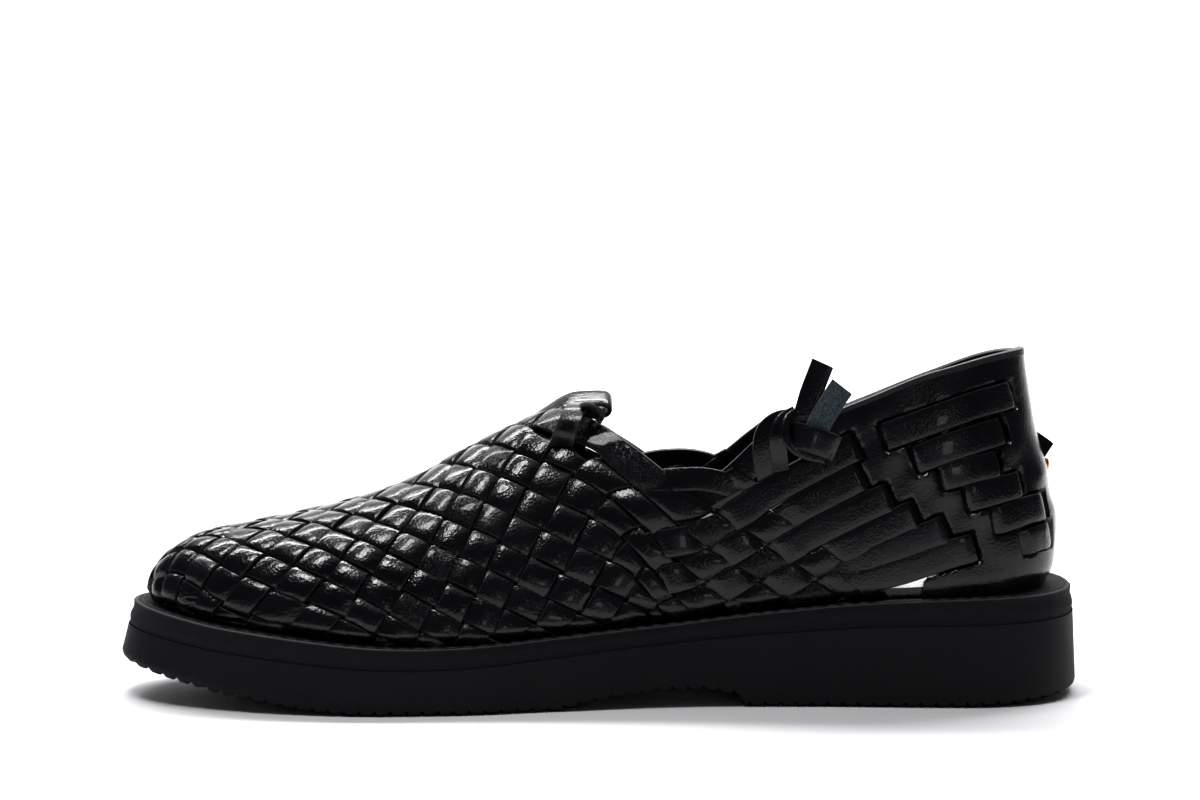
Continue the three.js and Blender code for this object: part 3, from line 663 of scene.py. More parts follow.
# How far a strip may be in the sole, its pull to the inside there, and the height over which that fades
BURIED = -0.2
TUCK = -1.9
TUCK_HIGH = 4.5


def swing(phase):
    """Height of a strip along a plain weave, flat on the pads and steep between them."""
    wave = np.cos(math.pi * phase)
    return np.sign(wave) * np.abs(wave) ** WEAVE_FLAT


def tuck(place_z, x):
    """Pull of a strip towards the inside where it goes under along the sole."""
    return TUCK * (1 - ease(place_z - feather(x), 0.0, TUCK_HIGH)) ** 1.5


def kept_stretch(run, above, centre):
    """Ends of the stretch above the sole that holds the centre, or of the first one."""
    low = np.argmin(np.abs(run - centre))
    if not above[low]:
        low = np.argmax(above)
    high = low
    while low > 0 and above[low - 1]:
        low -= 1
    while high < len(run) - 1 and above[high + 1]:
        high += 1
    return run[low], run[high]


def lattice_strip(piece, index, rising, start, end, nips=(), over=None, shade=None):
    """Strip of the lattice between two places along it, cut off where it meets the sole.

    Each nip pulls one edge in round a place along the strip: edge, share, place and reach.
    over is the stretch where the strip stays on top.
    """
    across = STRIP_SECTION[:, 0] * STRIP_FILL * RNG.uniform(0.95, 1.03)
    middle = index + RNG.normal(0, 0.02)
    drawn = RNG.uniform(0, 1)
    run = np.linspace(start, end, int((end - start) * RUN_STEPS))

    def at(along, aside, offset=0.0):
        return lattice(aside, along, offset) if rising else lattice(along, aside, offset)

    limits = []
    for lateral in across:
        points = at(run, np.full_like(run, middle + lateral))
        limits.append(kept_stretch(run, points[:, 2] - feather(points[:, 0]) > BURIED, index))
    limits = np.array(limits)
    steps = int((limits[:, 1] - limits[:, 0]).max() * CELL_STEPS) + 2
    t = np.linspace(0, 1, steps)[:, None]
    along = limits[:, 0] * (1 - t) + limits[:, 1] * t
    pulled = across
    for edge, pull, place, reach in nips:
        bell = np.exp(-((along - place) / reach) ** 2)
        pulled = np.where(across * edge > 0, pulled * (1 - pull * bell), pulled)
    aside = middle + pulled
    pad = 1 + WEAVE_VARY * np.sin(index * 5.1 + np.round(along) * 2.3)
    wave = swing(along + index + (0 if rising else 1))
    if over:
        held = ease(along, over[0] - 0.5, over[0]) * (1 - ease(along, over[1], over[1] + 0.5))
        wave = wave * (1 - held) + held
    base = at(along, aside)
    lift = WEAVE_SWING * wave * pad + tuck(base[..., 2], base[..., 0])
    offset = -WEAVE_DEPTH + lift + STRIP_SECTION[:, 1] * STRIP_THICK / 2
    piece.tube(at(along, aside, offset), STRIP_SECTION[:, 2], drawn if shade is None else shade)


def smooth_route(points, count, space=False):
    """Places spread evenly on a curve through the points, by its length in the side view or in space."""
    points = np.asarray(points, dtype=float)
    padded = np.vstack([2 * points[0] - points[1], points, 2 * points[-1] - points[-2]])
    t = np.linspace(0, 1, ROUTE_STEPS, endpoint=False)[:, None]
    fine = []
    for p0, p1, p2, p3 in zip(padded, padded[1:], padded[2:], padded[3:]):
        fine.append(0.5 * (2 * p1 + (p2 - p0) * t + (2 * p0 - 5 * p1 + 4 * p2 - p3) * t ** 2
                           + (3 * p1 - p0 - 3 * p2 + p3) * t ** 3))
    fine = np.vstack(fine + [points[-1:]])
    run = run_along(fine if space else fine[:, :2])
    return read_along(fine, run, np.linspace(0, run[-1], count))


def side_strip(piece, route, width, side, count):
    """Strip along a route of (x, z, lift) in the side view, lying on the last's side."""
    line = smooth_route(route, count)
    ahead = unit(np.gradient(line[:, :2], axis=0))
    spread = STRIP_SECTION[:, 0] * width / 2
    x = line[:, 0, None] - ahead[:, 1, None] * spread
    z = line[:, 1, None] + ahead[:, 0, None] * spread
    z = np.maximum(z, feather(x))
    offset = line[:, 2, None] + STRIP_SECTION[:, 1] * STRIP_THICK / 2
    piece.tube(side_wall(x, z, side, offset + tuck(z, x)), STRIP_SECTION[:, 2], RNG.uniform(0, 1))


# Upper

FIRST_STRIP = -3
LAST_FULL_STRIP = 9
STRIP_START = -7.0
FAR_OFF = 21.0
# First of the strips that end before the vent, and where
VENT_STRIP = 7
BEFORE_VENT = 18.35
# Strips that end at the throat, rising and falling, and the one that goes on behind it
THROAT_ENDS = {
    True: {10: 8.15, 11: 8.15, 12: 9.1, 13: 10.9},
    False: {10: 8.15, 11: 8.15, 12: 7.45, 13: 10.9},
}
BEHIND_THROAT = (10, 13.3)
# Shade that marks a crinkled strip, and the strips along the throat with the peep hole between them
CRINKLED = -1.0
THROAT_INNER = {
    8: {"nips": [(1, 0.55, PEEP_AT, 0.4)]},
    9: {"nips": [(-1, 0.36, PEEP_AT, 0.4), (1, -0.28, 12.2, 1.7)], "over": (9.9, 12.1), "shade": CRINKLED},
}
THROAT_OUTER = {
    8: {"nips": [(1, 1.45, 11.85, 0.45)]},
    9: {"nips": [(1, 0.62, 11.8, 2.0), (-1, 0.3, 11.85, 0.4)], "over": (9.9, 12.1), "shade": CRINKLED},
}


def make_vamp():
    """Strips over and under from the sole on one side to the sole on the other, or to the throat."""
    piece = Piece()
    behind, start = BEHIND_THROAT
    for rising, throat in ((True, THROAT_OUTER), (False, THROAT_INNER)):
        for index in range(FIRST_STRIP, LAST_FULL_STRIP + 1):
            end = BEFORE_VENT if index >= VENT_STRIP else FAR_OFF
            lattice_strip(piece, index, rising, STRIP_START, end, **throat.get(index, {}))
        for index, end in THROAT_ENDS[rising].items():
            lattice_strip(piece, index, rising, STRIP_START, end)
        lattice_strip(piece, behind, not rising, start, BEFORE_VENT)
    piece.build("vamp_strips", leather_strip(), "leather_upper", "upper")


# Quarter straps: number along the foot and route in the photograph from the last crossing to the counter
QUARTER_ROUTES = {
    14: [(768, 493), (800, 475), (840, 454), (860, 444)],
    15: [(800, 508), (825, 495), (850, 482), (866, 474)],
    16: [(805, 538), (850, 515), (878, 502), (894, 495)],
    17: [(838, 552), (870, 537), (904, 519), (920, 512)],
    18: [(846, 569), (870, 558), (900, 547), (932, 535), (950, 527)],
    19: [(852, 588), (872, 579), (907, 569), (945, 556), (979, 546)],
}
LOWEST_STRAP = 19
QUARTER_WIDTH = 8.9
# Lift off the last along a strap and at its tucked end, and how far before the end it goes down
STRAP_LIFT = -0.75
DIVE = -3.9
DIVE_RUN = 2.2


def woven_route(index, flip):
    """Route of a quarter strap from the sole to its last crossing, going over and under."""
    along = np.arange(LAST_CROSSING - 12, LAST_CROSSING - 0.3, 0.125)
    places = lattice(float(index), along)
    lift = -WEAVE_DEPTH + WEAVE_SWING * swing(along + index + flip)
    kept = places[:, 2] >= feather(places[:, 0]) - 0.5
    return np.column_stack([places[:, 0], places[:, 2], lift])[kept]


def make_quarter():
    """Straps side by side behind the last crossing, tucked under the counter's front edge."""
    piece = Piece()
    for side, flip in ((-1, 0), (1, 1)):
        for index, spots in QUARTER_ROUTES.items():
            if side > 0 and index == LOWEST_STRAP:
                continue
            *places, last = [np.array(from_photo(*spot)) for spot in spots]
            leap = last - places[-1]
            places.append(places[-1] + leap * (1 - DIVE_RUN / max(np.linalg.norm(leap), DIVE_RUN + 0.1)))
            route = [*woven_route(index, flip), *((*place, STRAP_LIFT) for place in places), (*last, DIVE)]
            side_strip(piece, route, QUARTER_WIDTH, side, max(40, int(len(route) * 1.6)))
    piece.build("quarter_straps", leather_strip(), "leather_upper", "upper")


# Straps along the top edge: route in the photograph with lift off the last, and width
TOP_STRAPS = [
    ([(640, 482, -2.0), (668, 480, -0.9), (700, 479, -0.6), (726, 484, -0.9), (760, 497, -2.6)], 7.2),
    ([(706, 503, -3.2), (728, 483, -2.4), (744, 469, -1.7), (761, 453, -1.1), (778, 438, -1.2)], 8.6),
    ([(772, 486, -2.6), (768, 468, -0.8), (766, 450, 0.4), (769, 435, 1.0), (778, 426, 1.1),
      (790, 423, 0.8), (806, 424, -0.4), (824, 430, -2.0), (842, 440, -3.0)], 8.4),
]
# How many of them the outer side has, how far they lie lower there, and from where to where that grows
OUTER_STRAPS = 2
OUTER_DROP = 4.0
OUTER_DROP_OVER = (20, 60)


def make_top_straps():
    piece = Piece()
    for side, straps in ((-1, TOP_STRAPS), (1, TOP_STRAPS[:OUTER_STRAPS])):
        for route, width in straps:
            places = [(*from_photo(px, py), lift) for px, py, lift in route]
            if side > 0:
                places = [(x, z - OUTER_DROP * ease(x, *OUTER_DROP_OVER), lift) for x, z, lift in places]
            side_strip(piece, places, width, side, 36)
    piece.build("top_straps", leather_strip(), "leather_upper", "upper")


# Heel counter

# Top edges: share of LENGTH, inner side and outer side as shares of COLLAR_HEIGHT
TOPLINE = np.array([
    (0.740, 0.800, 0.745),
    (0.757, 0.818, 0.765),
    (0.787, 0.858, 0.805),
    (0.860, 0.950, 0.905),
    (0.943, 1.000, 0.990),
    (1.000, 1.000, 1.000),
])
topline_inner = curve(TOPLINE, 1)
topline_outer = curve(TOPLINE, 2)

# Front edge of the counter read in the photograph, from the collar down, mostly under the straps: what both
# sides share, and the lower end on the inner and on the outer side
COUNTER_FRONT = [(836, 400), (836, 450), (848, 480), (872, 506), (898, 524), (928, 548)]
FRONT_ENDS = [[(938, 566), (927, 584), (928, 601)], [(958, 566), (958, 584), (958, 601)]]
# Share of LENGTH about where it starts, then its place over the sole and off the last, its wall, how far its
# foot is tucked in, its rounded top edge, the shares of its height over which it is raw, and its round back
COUNTER_FROM = 0.78
COUNTER_SEAT = 0.2
COUNTER_OUT = -0.2
COUNTER_WALL = 3.0
COUNTER_TUCK = 1.3
COUNTER_CROWN = np.array([0, 0, 0.5])
RAW_EDGE = (0.965, 0.98)
BACK_TURN = 0.12
# Dents under the quarter's and the laced straps, and the slits' length past a strap's end
STRAP_DEEP = -2.3
LACED_DEEP = -1.35
SLIT_LONG = 1.7
SLIT_DEEP = -2.7
# Swellings of the counter between the slits: place in the photograph, reach and height
SWELLINGS = [
    (866, 421, 4.0, 1.0), (897, 452, 3.6, 1.2), (926, 474, 3.2, 1.3),
    (951, 493, 3.0, 1.3), (980, 512, 3.2, 1.2), (1016, 424, 4.0, 0.9),
    (1010, 450, 3.4, 0.9), (1040, 476, 3.0, 0.8), (1058, 506, 2.6, 0.7),
]
COUNTER_LEVELS = 96
COUNTER_TURNS = 110


def counter_front(z, side):
    fronts = []
    for end in FRONT_ENDS:
        places = np.array([from_photo(*spot) for spot in COUNTER_FRONT + end])[::-1]
        fronts.append(np.interp(z, places[:, 1], places[:, 0]))
    return np.where(side < 0, *fronts)


def counter_place(turn, rise, offset):
    """Place on the counter: turn from the inner front (-1) round the heel to the outer front (1)."""
    side = np.where(turn < 0, -1.0, 1.0)
    away = np.abs(turn)
    x_guess = station(COUNTER_FROM) + (HEEL_END - station(COUNTER_FROM)) * np.cos(math.pi / 2 * away)
    leaned = share(x_guess - lean_at(x_guess, COLLAR_HEIGHT))
    top = np.where(side < 0, topline_inner(leaned), topline_outer(leaned)) * COLLAR_HEIGHT
    low = feather(x_guess) + COUNTER_SEAT
    z = low + (top - low) * rise
    front = counter_front(z, side)

    def place(turned, height):
        straight = front + (HEEL_END - front) * np.cos(math.pi / 2 * np.clip(turned, 0, 1))
        x = straight - lean_at(straight, height)
        y = UPPER_OUTLINE.middle(x) + side * straight_half(straight, height)
        return np.stack([x, y, height], axis=-1)

    step = 0.01
    along = (place(away + step, z) - place(np.maximum(away - step, 0), z)) * side[..., None]
    along = np.where((away < step)[..., None], np.array([0.0, 1.0, 0.0]), along)
    normal = unit(np.cross(place(away, z + 0.5) - place(away, z - 0.5), along))
    outward = np.where((normal[..., 0] * 0.3 + normal[..., 1] * side > 0) | (away < BACK_TURN), 1.0, -1.0)
    outward = np.where((away < BACK_TURN) & (normal[..., 0] < 0), -1.0, outward)
    return place(away, z) + normal * outward[..., None] * offset[..., None]


def strap_dents():
    """Dents of the counter under the straps and its slits: places, half width and depth under the last."""
    dents = []
    for route in QUARTER_ROUTES.values():
        dents.append((np.array([from_photo(*spot) for spot in route]), QUARTER_WIDTH / 2, STRAP_DEEP))
    for route, width in LACED:
        places = np.array([from_photo(*spot) for spot in route])
        ahead = unit(places[-1] - places[-2])
        slit = np.array([places[-1] - ahead, places[-1] + ahead * SLIT_LONG])
        dents.append((places, width / 2, LACED_DEEP))
        dents.append((slit, width / 2 - 0.2, SLIT_DEEP))
    return dents


def counter_relief(x, z):
    """Height of the counter's outer face for a place in the side view, low under the straps."""
    relief = COUNTER_OUT + 0.22 * np.sin(x * 0.31 + z * 0.13) * np.sin(z * 0.23 - x * 0.07)
    for px, py, reach, height in SWELLINGS:
        at_x, at_z = from_photo(px, py)
        relief = relief + height * np.exp(-((x - at_x) ** 2 + (z - at_z) ** 2) / (2 * reach ** 2))
    for places, half, depth in strap_dents():
        inside = np.zeros_like(x)
        for start, end in zip(places[:-1], places[1:]):
            length = np.linalg.norm(end - start)
            run = (end - start) / length
            along = (x - start[0]) * run[0] + (z - start[1]) * run[1]
            aside = np.abs((x - start[0]) * run[1] - (z - start[1]) * run[0])
            ends = ease(along, -1.6, -0.4) * (1 - ease(along, length - 0.9, length + 0.3))
            inside = np.maximum(inside, ends * (1 - ease(aside, half - 0.2, half + 1.0)))
        relief = relief + (depth - relief) * inside
    return relief


def make_counter():
    piece = Piece()
    turns = np.linspace(-1, 1, 2 * COUNTER_TURNS + 1)
    rises = np.linspace(0, 1, COUNTER_LEVELS)
    turn, rise = np.meshgrid(turns, rises, indexing="ij")
    level = np.full_like(turn, COUNTER_OUT)
    flat = counter_place(turn, rise, level)
    relief = counter_relief(flat[..., 0], flat[..., 2])
    outer = counter_place(turn, rise, relief - COUNTER_TUCK * (1 - ease(rise, 0.0, 0.12)) ** 2)
    inner = counter_place(turn, rise, level - COUNTER_WALL)
    crown = (outer[:, -1:] + inner[:, -1:]) / 2 + COUNTER_CROWN
    edge = ease(rises, *RAW_EDGE)
    rim = np.concatenate([edge, [1.0], edge[::-1]])
    piece.tube(np.concatenate([outer, crown, inner[:, ::-1]], axis=1), rim, 0.5)
    piece.build("counter_shell", counter_leather(), "leather_counter", "heel_counter")


# Straps laced over the counter: route in the photograph from the front slit to the back slit, and width
LACED = [
    ([(884, 437), (930, 421), (975, 405), (1011, 394)], 8.4),
    ([(915, 460), (945, 449), (975, 439), (1002, 430)], 8.6),
    ([(941, 478), (960, 473), (978, 468), (998, 463)], 8.2),
    ([(967, 499), (985, 494), (1003, 489), (1020, 484)], 8.2),
    ([(995, 521), (1011, 516), (1027, 510), (1043, 505)], 8.6),
    ([(1024, 543), (1032, 540), (1040, 537), (1049, 534)], 8.0),
]
LACED_LIFT = -0.05


def make_laced():
    piece = Piece()
    for side in (-1, 1):
        for route, width in LACED:
            first, *between, last = [np.array(from_photo(*spot)) for spot in route]
            run = unit(last - first)
            lifted = [(*(first - run * 1.6), -2.6), (*first, -1.2), (*(first + run * 1.8), LACED_LIFT)]
            lifted += [(*place, LACED_LIFT + 0.25) for place in between]
            lifted += [(*(last - run * 2.0), LACED_LIFT + 0.2), (*last, -0.6), (*(last + run * 1.2), -2.4)]
            side_strip(piece, lifted, width, side, 46)
    piece.build("laced_straps", leather_strip(), "leather_upper", "heel_counter")


# Tie at the inner ankle: route in the photograph with lift off the last, and width
TIE = {
    "tie_wrap": ("tie_knot", [
        ([(780, 470, -1.0), (779, 458, 1.6), (778, 446, 3.4), (779, 433, 4.2),
          (785, 421, 3.4), (797, 413, 1.2)], 5.2),
        ([(799, 411, 2.4), (789, 418, 4.2), (785, 431, 5.4), (789, 444, 5.6),
          (801, 453, 5.0), (824, 458, 2.6)], 2.6),
        ([(789, 434, 3.6), (800, 436, 5.8), (813, 440, 6.4), (829, 445, 4.8), (836, 448, 2.8)], 8.0),
    ]),
    "tail_dark": ("tie_tail_dark", [
        ([(801, 432, 1.8), (805, 414, 3.0), (812, 392, 3.6), (823, 366, 4.6)], 7.0),
    ]),
    "tail_light": ("tie_tail_light", [
        ([(814, 436, 4.0), (820, 421, 5.2), (831, 404, 6.2), (842, 389, 7.4)], 7.4),
    ]),
}


def make_ties():
    for name, (node, straps) in TIE.items():
        piece = Piece()
        for route, width in straps:
            side_strip(piece, [(*beside(px, py), lift) for px, py, lift in route], width, -1, 44)
        look, slot = leather_strip, "leather_upper"
        if name == "tail_light":
            look, slot = flesh_leather, "leather_flesh"
        piece.build(name, look(), slot, node)


# Loops at the top of the throat. The one along the crown folds back under itself: distance along
# the foot and distance down from its top. The near one: points in the photograph and distance from the middle
CROWN_LOOP = [
    (-20.0, 8.0), (-16.0, 5.0), (-12.5, 2.4), (-8.5, 0.5), (-3.0, 0.0), (1.0, 0.0),
    (2.7, 0.8), (3.1, 2.3), (2.1, 3.8), (-0.8, 4.4),
]
CROWN_LOOP_TOP = (5.0, 91.0)
CROWN_LOOP_WIDE = (0.0, 0.9, 0.42)
CROWN_LOOP_WIDTH = 8.6
NEAR_LOOPS = [
    ([(558, 452, -12.0), (561, 444, -15.5), (565, 434, -18.5), (570, 421, -18.0), (575, 410.5, -15.0),
      (578, 405.5, -10.5), (581, 405.5, -6.0), (584, 411, -3.0)], (0.95, -0.25, 0.0), 7.2),
    ([(580, 411, -15.5), (586, 410, -15.0), (593, 412.5, -14.0), (598.5, 418, -13.0), (599, 425, -13.0),
      (595, 430, -13.5)], (0.0, -0.75, 0.66), 6.6),
]


def free_strip(piece, line, wide, width):
    """Strip along a route in space with its width along wide."""
    ahead = unit(np.gradient(line, axis=0))
    wide = np.broadcast_to(np.asarray(wide, float), line.shape)
    wide = unit(wide - ahead * (wide * ahead).sum(axis=1, keepdims=True))
    normal = np.cross(ahead, wide)
    spread = STRIP_SECTION[:, 0] * width / 2
    depth = STRIP_SECTION[:, 1] * STRIP_THICK / 2
    rings = line[:, None] + wide[:, None] * spread[:, None] + normal[:, None] * depth[:, None]
    piece.tube(rings, STRIP_SECTION[:, 2], RNG.uniform(0, 1))


def make_throat_loops():
    piece = Piece()
    across, high = CROWN_LOOP_TOP
    wide = unit(np.array(CROWN_LOOP_WIDE))
    down = np.cross(wide, (1.0, 0.0, 0.0))
    route = [np.array([x, across, high]) + down * fall for x, fall in CROWN_LOOP]
    free_strip(piece, smooth_route(route, 60, True), wide, CROWN_LOOP_WIDTH)
    piece.build("loop_back", leather_strip(), "leather_upper", "throat_loop_back")
    piece = Piece()
    for route, wide, width in NEAR_LOOPS:
        free_strip(piece, smooth_route([in_plane(*spot) for spot in route], 50, True), wide, width)
    piece.build("loop_front", leather_strip(), "leather_upper", "throat_loop_front")


# Tab at the back of the heel, in the photograph: one layer lies over the other
BACK_TAB = [(1013, 432), (1022, 436), (1032, 441), (1041, 447), (1047.5, 452)]
TAB_WIDE = (0.42, 0.45, 0.79)
TAB_WIDTH = 7.2
TAB_LAYERS = (-1.2, 1.2)


def make_back_fold():
    piece = Piece()
    middle = float(UPPER_OUTLINE.middle(HEEL_END))
    for layer in TAB_LAYERS:
        line = smooth_route([in_plane(px, py, middle + layer) for px, py in BACK_TAB], 40, True)
        free_strip(piece, line, TAB_WIDE, TAB_WIDTH)
    piece.build("back_fold", leather_strip(), "leather_upper", "back_tab")


# Dark sheet under the woven wall that paints the shade inside the shoe, seen only between the strips. It
# reaches the crest in front of the first place below, and behind it this top edge: place along the foot and
# height
SHADE_SHEET_CLOSED = -32.0
SHADE_SHEET_TOP = [(-20.0, 78.0), (-12.0, 69.0), (6.0, 56.0), (15.0, 50.0), (62.0, 54.0)]
SHADE_SHEET_DEPTH = -3.8
SHADE_SHEET_SEAT = 0.4


# Sheet of painted shade on both sides under the strips, standing in for the shade inside the shoe
def make_shade_sheet():
    piece = Piece()
    round_toe = TOE_END + 3.2 + 12 * np.linspace(0, 1, 12) ** 1.6
    xs = np.concatenate([round_toe, np.linspace(TOE_END + 16, SHADE_SHEET_TOP[-1][0], 90)])
    edge = np.array([(SHADE_SHEET_CLOSED, float(crest(SHADE_SHEET_CLOSED)))] + SHADE_SHEET_TOP)
    top = np.where(xs < SHADE_SHEET_CLOSED, crest(xs) - 0.15, np.interp(xs, edge[:, 0], edge[:, 1]))
    low = feather(xs) + SHADE_SHEET_SEAT
    rise = 1 - (1 - np.linspace(0, 1, 30)) ** 2
    z = low[:, None] + (top - low)[:, None] * rise
    x = np.broadcast_to(xs[:, None], z.shape)
    for side in (-1, 1):
        piece.sheet(side_wall(x, z, side, np.full(z.shape, SHADE_SHEET_DEPTH)), 0.0, 0.2)
    piece.build("inner_face", shade_sheet_colour(), "leather_upper", "upper")


# Sole

# Grooves across the sole: the first one's place, and what stays plain at the toe and at the heel, come last
GROOVE_PITCH = 4.75
GROOVE_WIDE = 1.9
GROOVE_DEEP = 1.7
GROOVE_FIRST = 6
GROOVE_ENDS = (4, 2)
SOLE_CORNER = 2.2
# Share of LENGTH over which the toe flares more, the rubber's share of the flare, and points across a flat face
FLARE_OVER = 0.1
RUBBER_FLARE = 0.55
SLAB_WIDE = 14


def sole_stations():
    """Stations along the sole, close together at both ends and with every corner of the grooves."""
    ends = LENGTH / 2 * -np.cos(np.linspace(0, math.pi, 90))
    centres = np.arange(-LENGTH / 2 + GROOVE_FIRST, LENGTH / 2 - 3, GROOVE_PITCH)
    corners = (centres[:, None] + GROOVE_WIDE / 2 * np.array([-1, -0.5, 0, 0.5, 1])).ravel()
    xs = np.unique(np.round(np.concatenate([ends, corners]), 3))
    return xs[np.concatenate([[True], np.diff(xs) > 0.12])]


def groove(x):
    half = GROOVE_PITCH / 2
    near = np.abs((x + LENGTH / 2 - GROOVE_FIRST + half) % GROOVE_PITCH - half)
    inside = (x > -LENGTH / 2 + GROOVE_ENDS[0]) & (x < LENGTH / 2 - GROOVE_ENDS[1])
    return np.where(inside, GROOVE_DEEP * np.clip(1 - near / (GROOVE_WIDE / 2), 0, 1), 0)


def flare(x):
    return WALL_FLARE + (TOE_FLARE - WALL_FLARE) * np.clip(1 - share(x) / FLARE_OVER, 0, 1)


def sole_ring(angle, inset, height):
    """Ring round the sole from toe over the outer side to the heel and back on the inner side."""
    probe = SOLE_OUTLINE.at(angle, 1)[:, 0]
    sides = []
    for side in (1, -1):
        flat = SOLE_OUTLINE.point(angle, side, inset(probe))
        sides.append(np.column_stack([flat, height(flat[:, 0])]))
    return np.vstack([sides[0], sides[1][::-1]])


def slab(piece, levels, xs, rims, under=None, over=None):
    """Closed body between rings round the sole; under and over give the heights of its flat faces."""
    share_along = np.clip((xs + LENGTH / 2) / LENGTH, 0.0004, 0.9996)
    angle = np.arccos(1 - 2 * share_along)
    rings = np.array([sole_ring(angle, inset, height) for inset, height in levels])
    count = len(xs)
    body = np.concatenate([rings, rings[:, :1]], axis=1)
    piece.sheet(body, np.repeat(rims, body.shape[1]), 0.5)
    for ring, height in ((rings[0], under), (rings[-1], over)):
        if height is None:
            continue
        outer, inner = ring[:count], ring[count:][::-1]
        t = np.linspace(0, 1, SLAB_WIDE)[None, :, None]
        grid = outer[:, None] * (1 - t) + inner[:, None] * t
        grid[:, 1:-1, 2] = height(grid[:, 1:-1, 0])
        piece.sheet(grid, 0.0, 0.5)


def band(x):
    return band_share(share(x)) * MIDSOLE


def make_outsole():
    piece = Piece()
    xs = sole_stations()

    def bottom(x):
        return sole_bottom(x) + groove(x)

    def height_at(t):
        return lambda x: (sole_bottom(x) + SOLE_CORNER) * (1 - t) + (sole_top(x) - band(x)) * t

    levels = [(lambda x: 0 * x + SOLE_CORNER, bottom)]
    for turn in (0.33, 0.66):
        sine = math.sin(turn * math.pi / 2)
        cosine = math.cos(turn * math.pi / 2)
        levels.append((
            lambda x, s=sine: 0 * x + SOLE_CORNER * (1 - s),
            lambda x, s=sine, c=cosine: sole_bottom(x) + SOLE_CORNER * (1 - c) + groove(x) * (1 - s * 0.6)))
    for t in np.linspace(0, 1, 9):
        levels.append((lambda x, s=t: flare(x) * RUBBER_FLARE * s, height_at(t)))
    slab(piece, levels, xs, [0.0] * len(levels), under=bottom)
    piece.build("rubber_outsole", rubber(), "rubber_sole", "outsole", smooth=32)


MIDSOLE_STEP = 0.1


def make_midsole():
    piece = Piece()
    xs = sole_stations()[::2]

    def wall_inset(x, t):
        return MIDSOLE_STEP + flare(x) * (RUBBER_FLARE + (1 - RUBBER_FLARE) * t)

    def height_at(t):
        return lambda x: sole_top(x) - band(x) * (1 - t)

    levels = [(lambda x: wall_inset(x, 0) + 2.0, height_at(0))]
    for t in np.linspace(0, 0.94, 9):
        levels.append((lambda x, s=t: wall_inset(x, s) + 0.25 * np.cos(s * 9), height_at(t)))
    for inset, up in ((0.3, 0.985), (0.9, 1.0), (1.8, 1.0)):
        levels.append((lambda x, s=inset: wall_inset(x, 1) + s, height_at(up)))
    rims = [0.0] * 9 + [0.5, 1.0, 1.0, 0.3]
    slab(piece, levels, xs, rims, over=height_at(1.0))
    piece.build("leather_midsole", midsole_leather(), "leather_edge", "midsole", smooth=50)


STITCH_LONG = 3.4
STITCH_GAP = 1.5
STITCH_THICK = 0.42
STITCH_INSET = 2.6
STITCH_RISE = 0.2
STITCH_RINGS = 6


def make_ledge_stitches():
    """Row of stitches on the ledge round the upper."""
    piece = Piece()
    angle = np.linspace(0.02, math.pi - 0.02, 1500)
    inset = flare(SOLE_OUTLINE.at(angle, 1)[:, 0]) + STITCH_INSET
    arch = np.sin(np.linspace(0, math.pi, STITCH_RINGS))
    turn = np.linspace(0, 2 * math.pi, STITCH_RINGS, endpoint=False)
    for side in (-1, 1):
        flat = SOLE_OUTLINE.point(angle, side, inset)
        run = run_along(flat)
        for start in np.arange(0, run[-1] - STITCH_LONG, STITCH_LONG + STITCH_GAP):
            line = read_along(flat, run, start + np.linspace(0, STITCH_LONG, STITCH_RINGS))
            z = sole_top(line[:, 0]) + STITCH_RISE * arch - STITCH_RISE
            ahead = unit(np.gradient(line, axis=0))
            rings = []
            for k, (x, y) in enumerate(line):
                aside = np.array([-ahead[k, 1], ahead[k, 0], 0])
                around = np.cos(turn)[:, None] * aside + np.sin(turn)[:, None] * np.array([0, 0, 1])
                rings.append(np.array([x, y, z[k]]) + STITCH_THICK * (0.6 + 0.4 * arch[k]) * around)
            piece.tube(np.array(rings), 0.0, RNG.uniform(0, 1))
    piece.build("ledge_stitches", thread(), "leather_edge")


# Materials

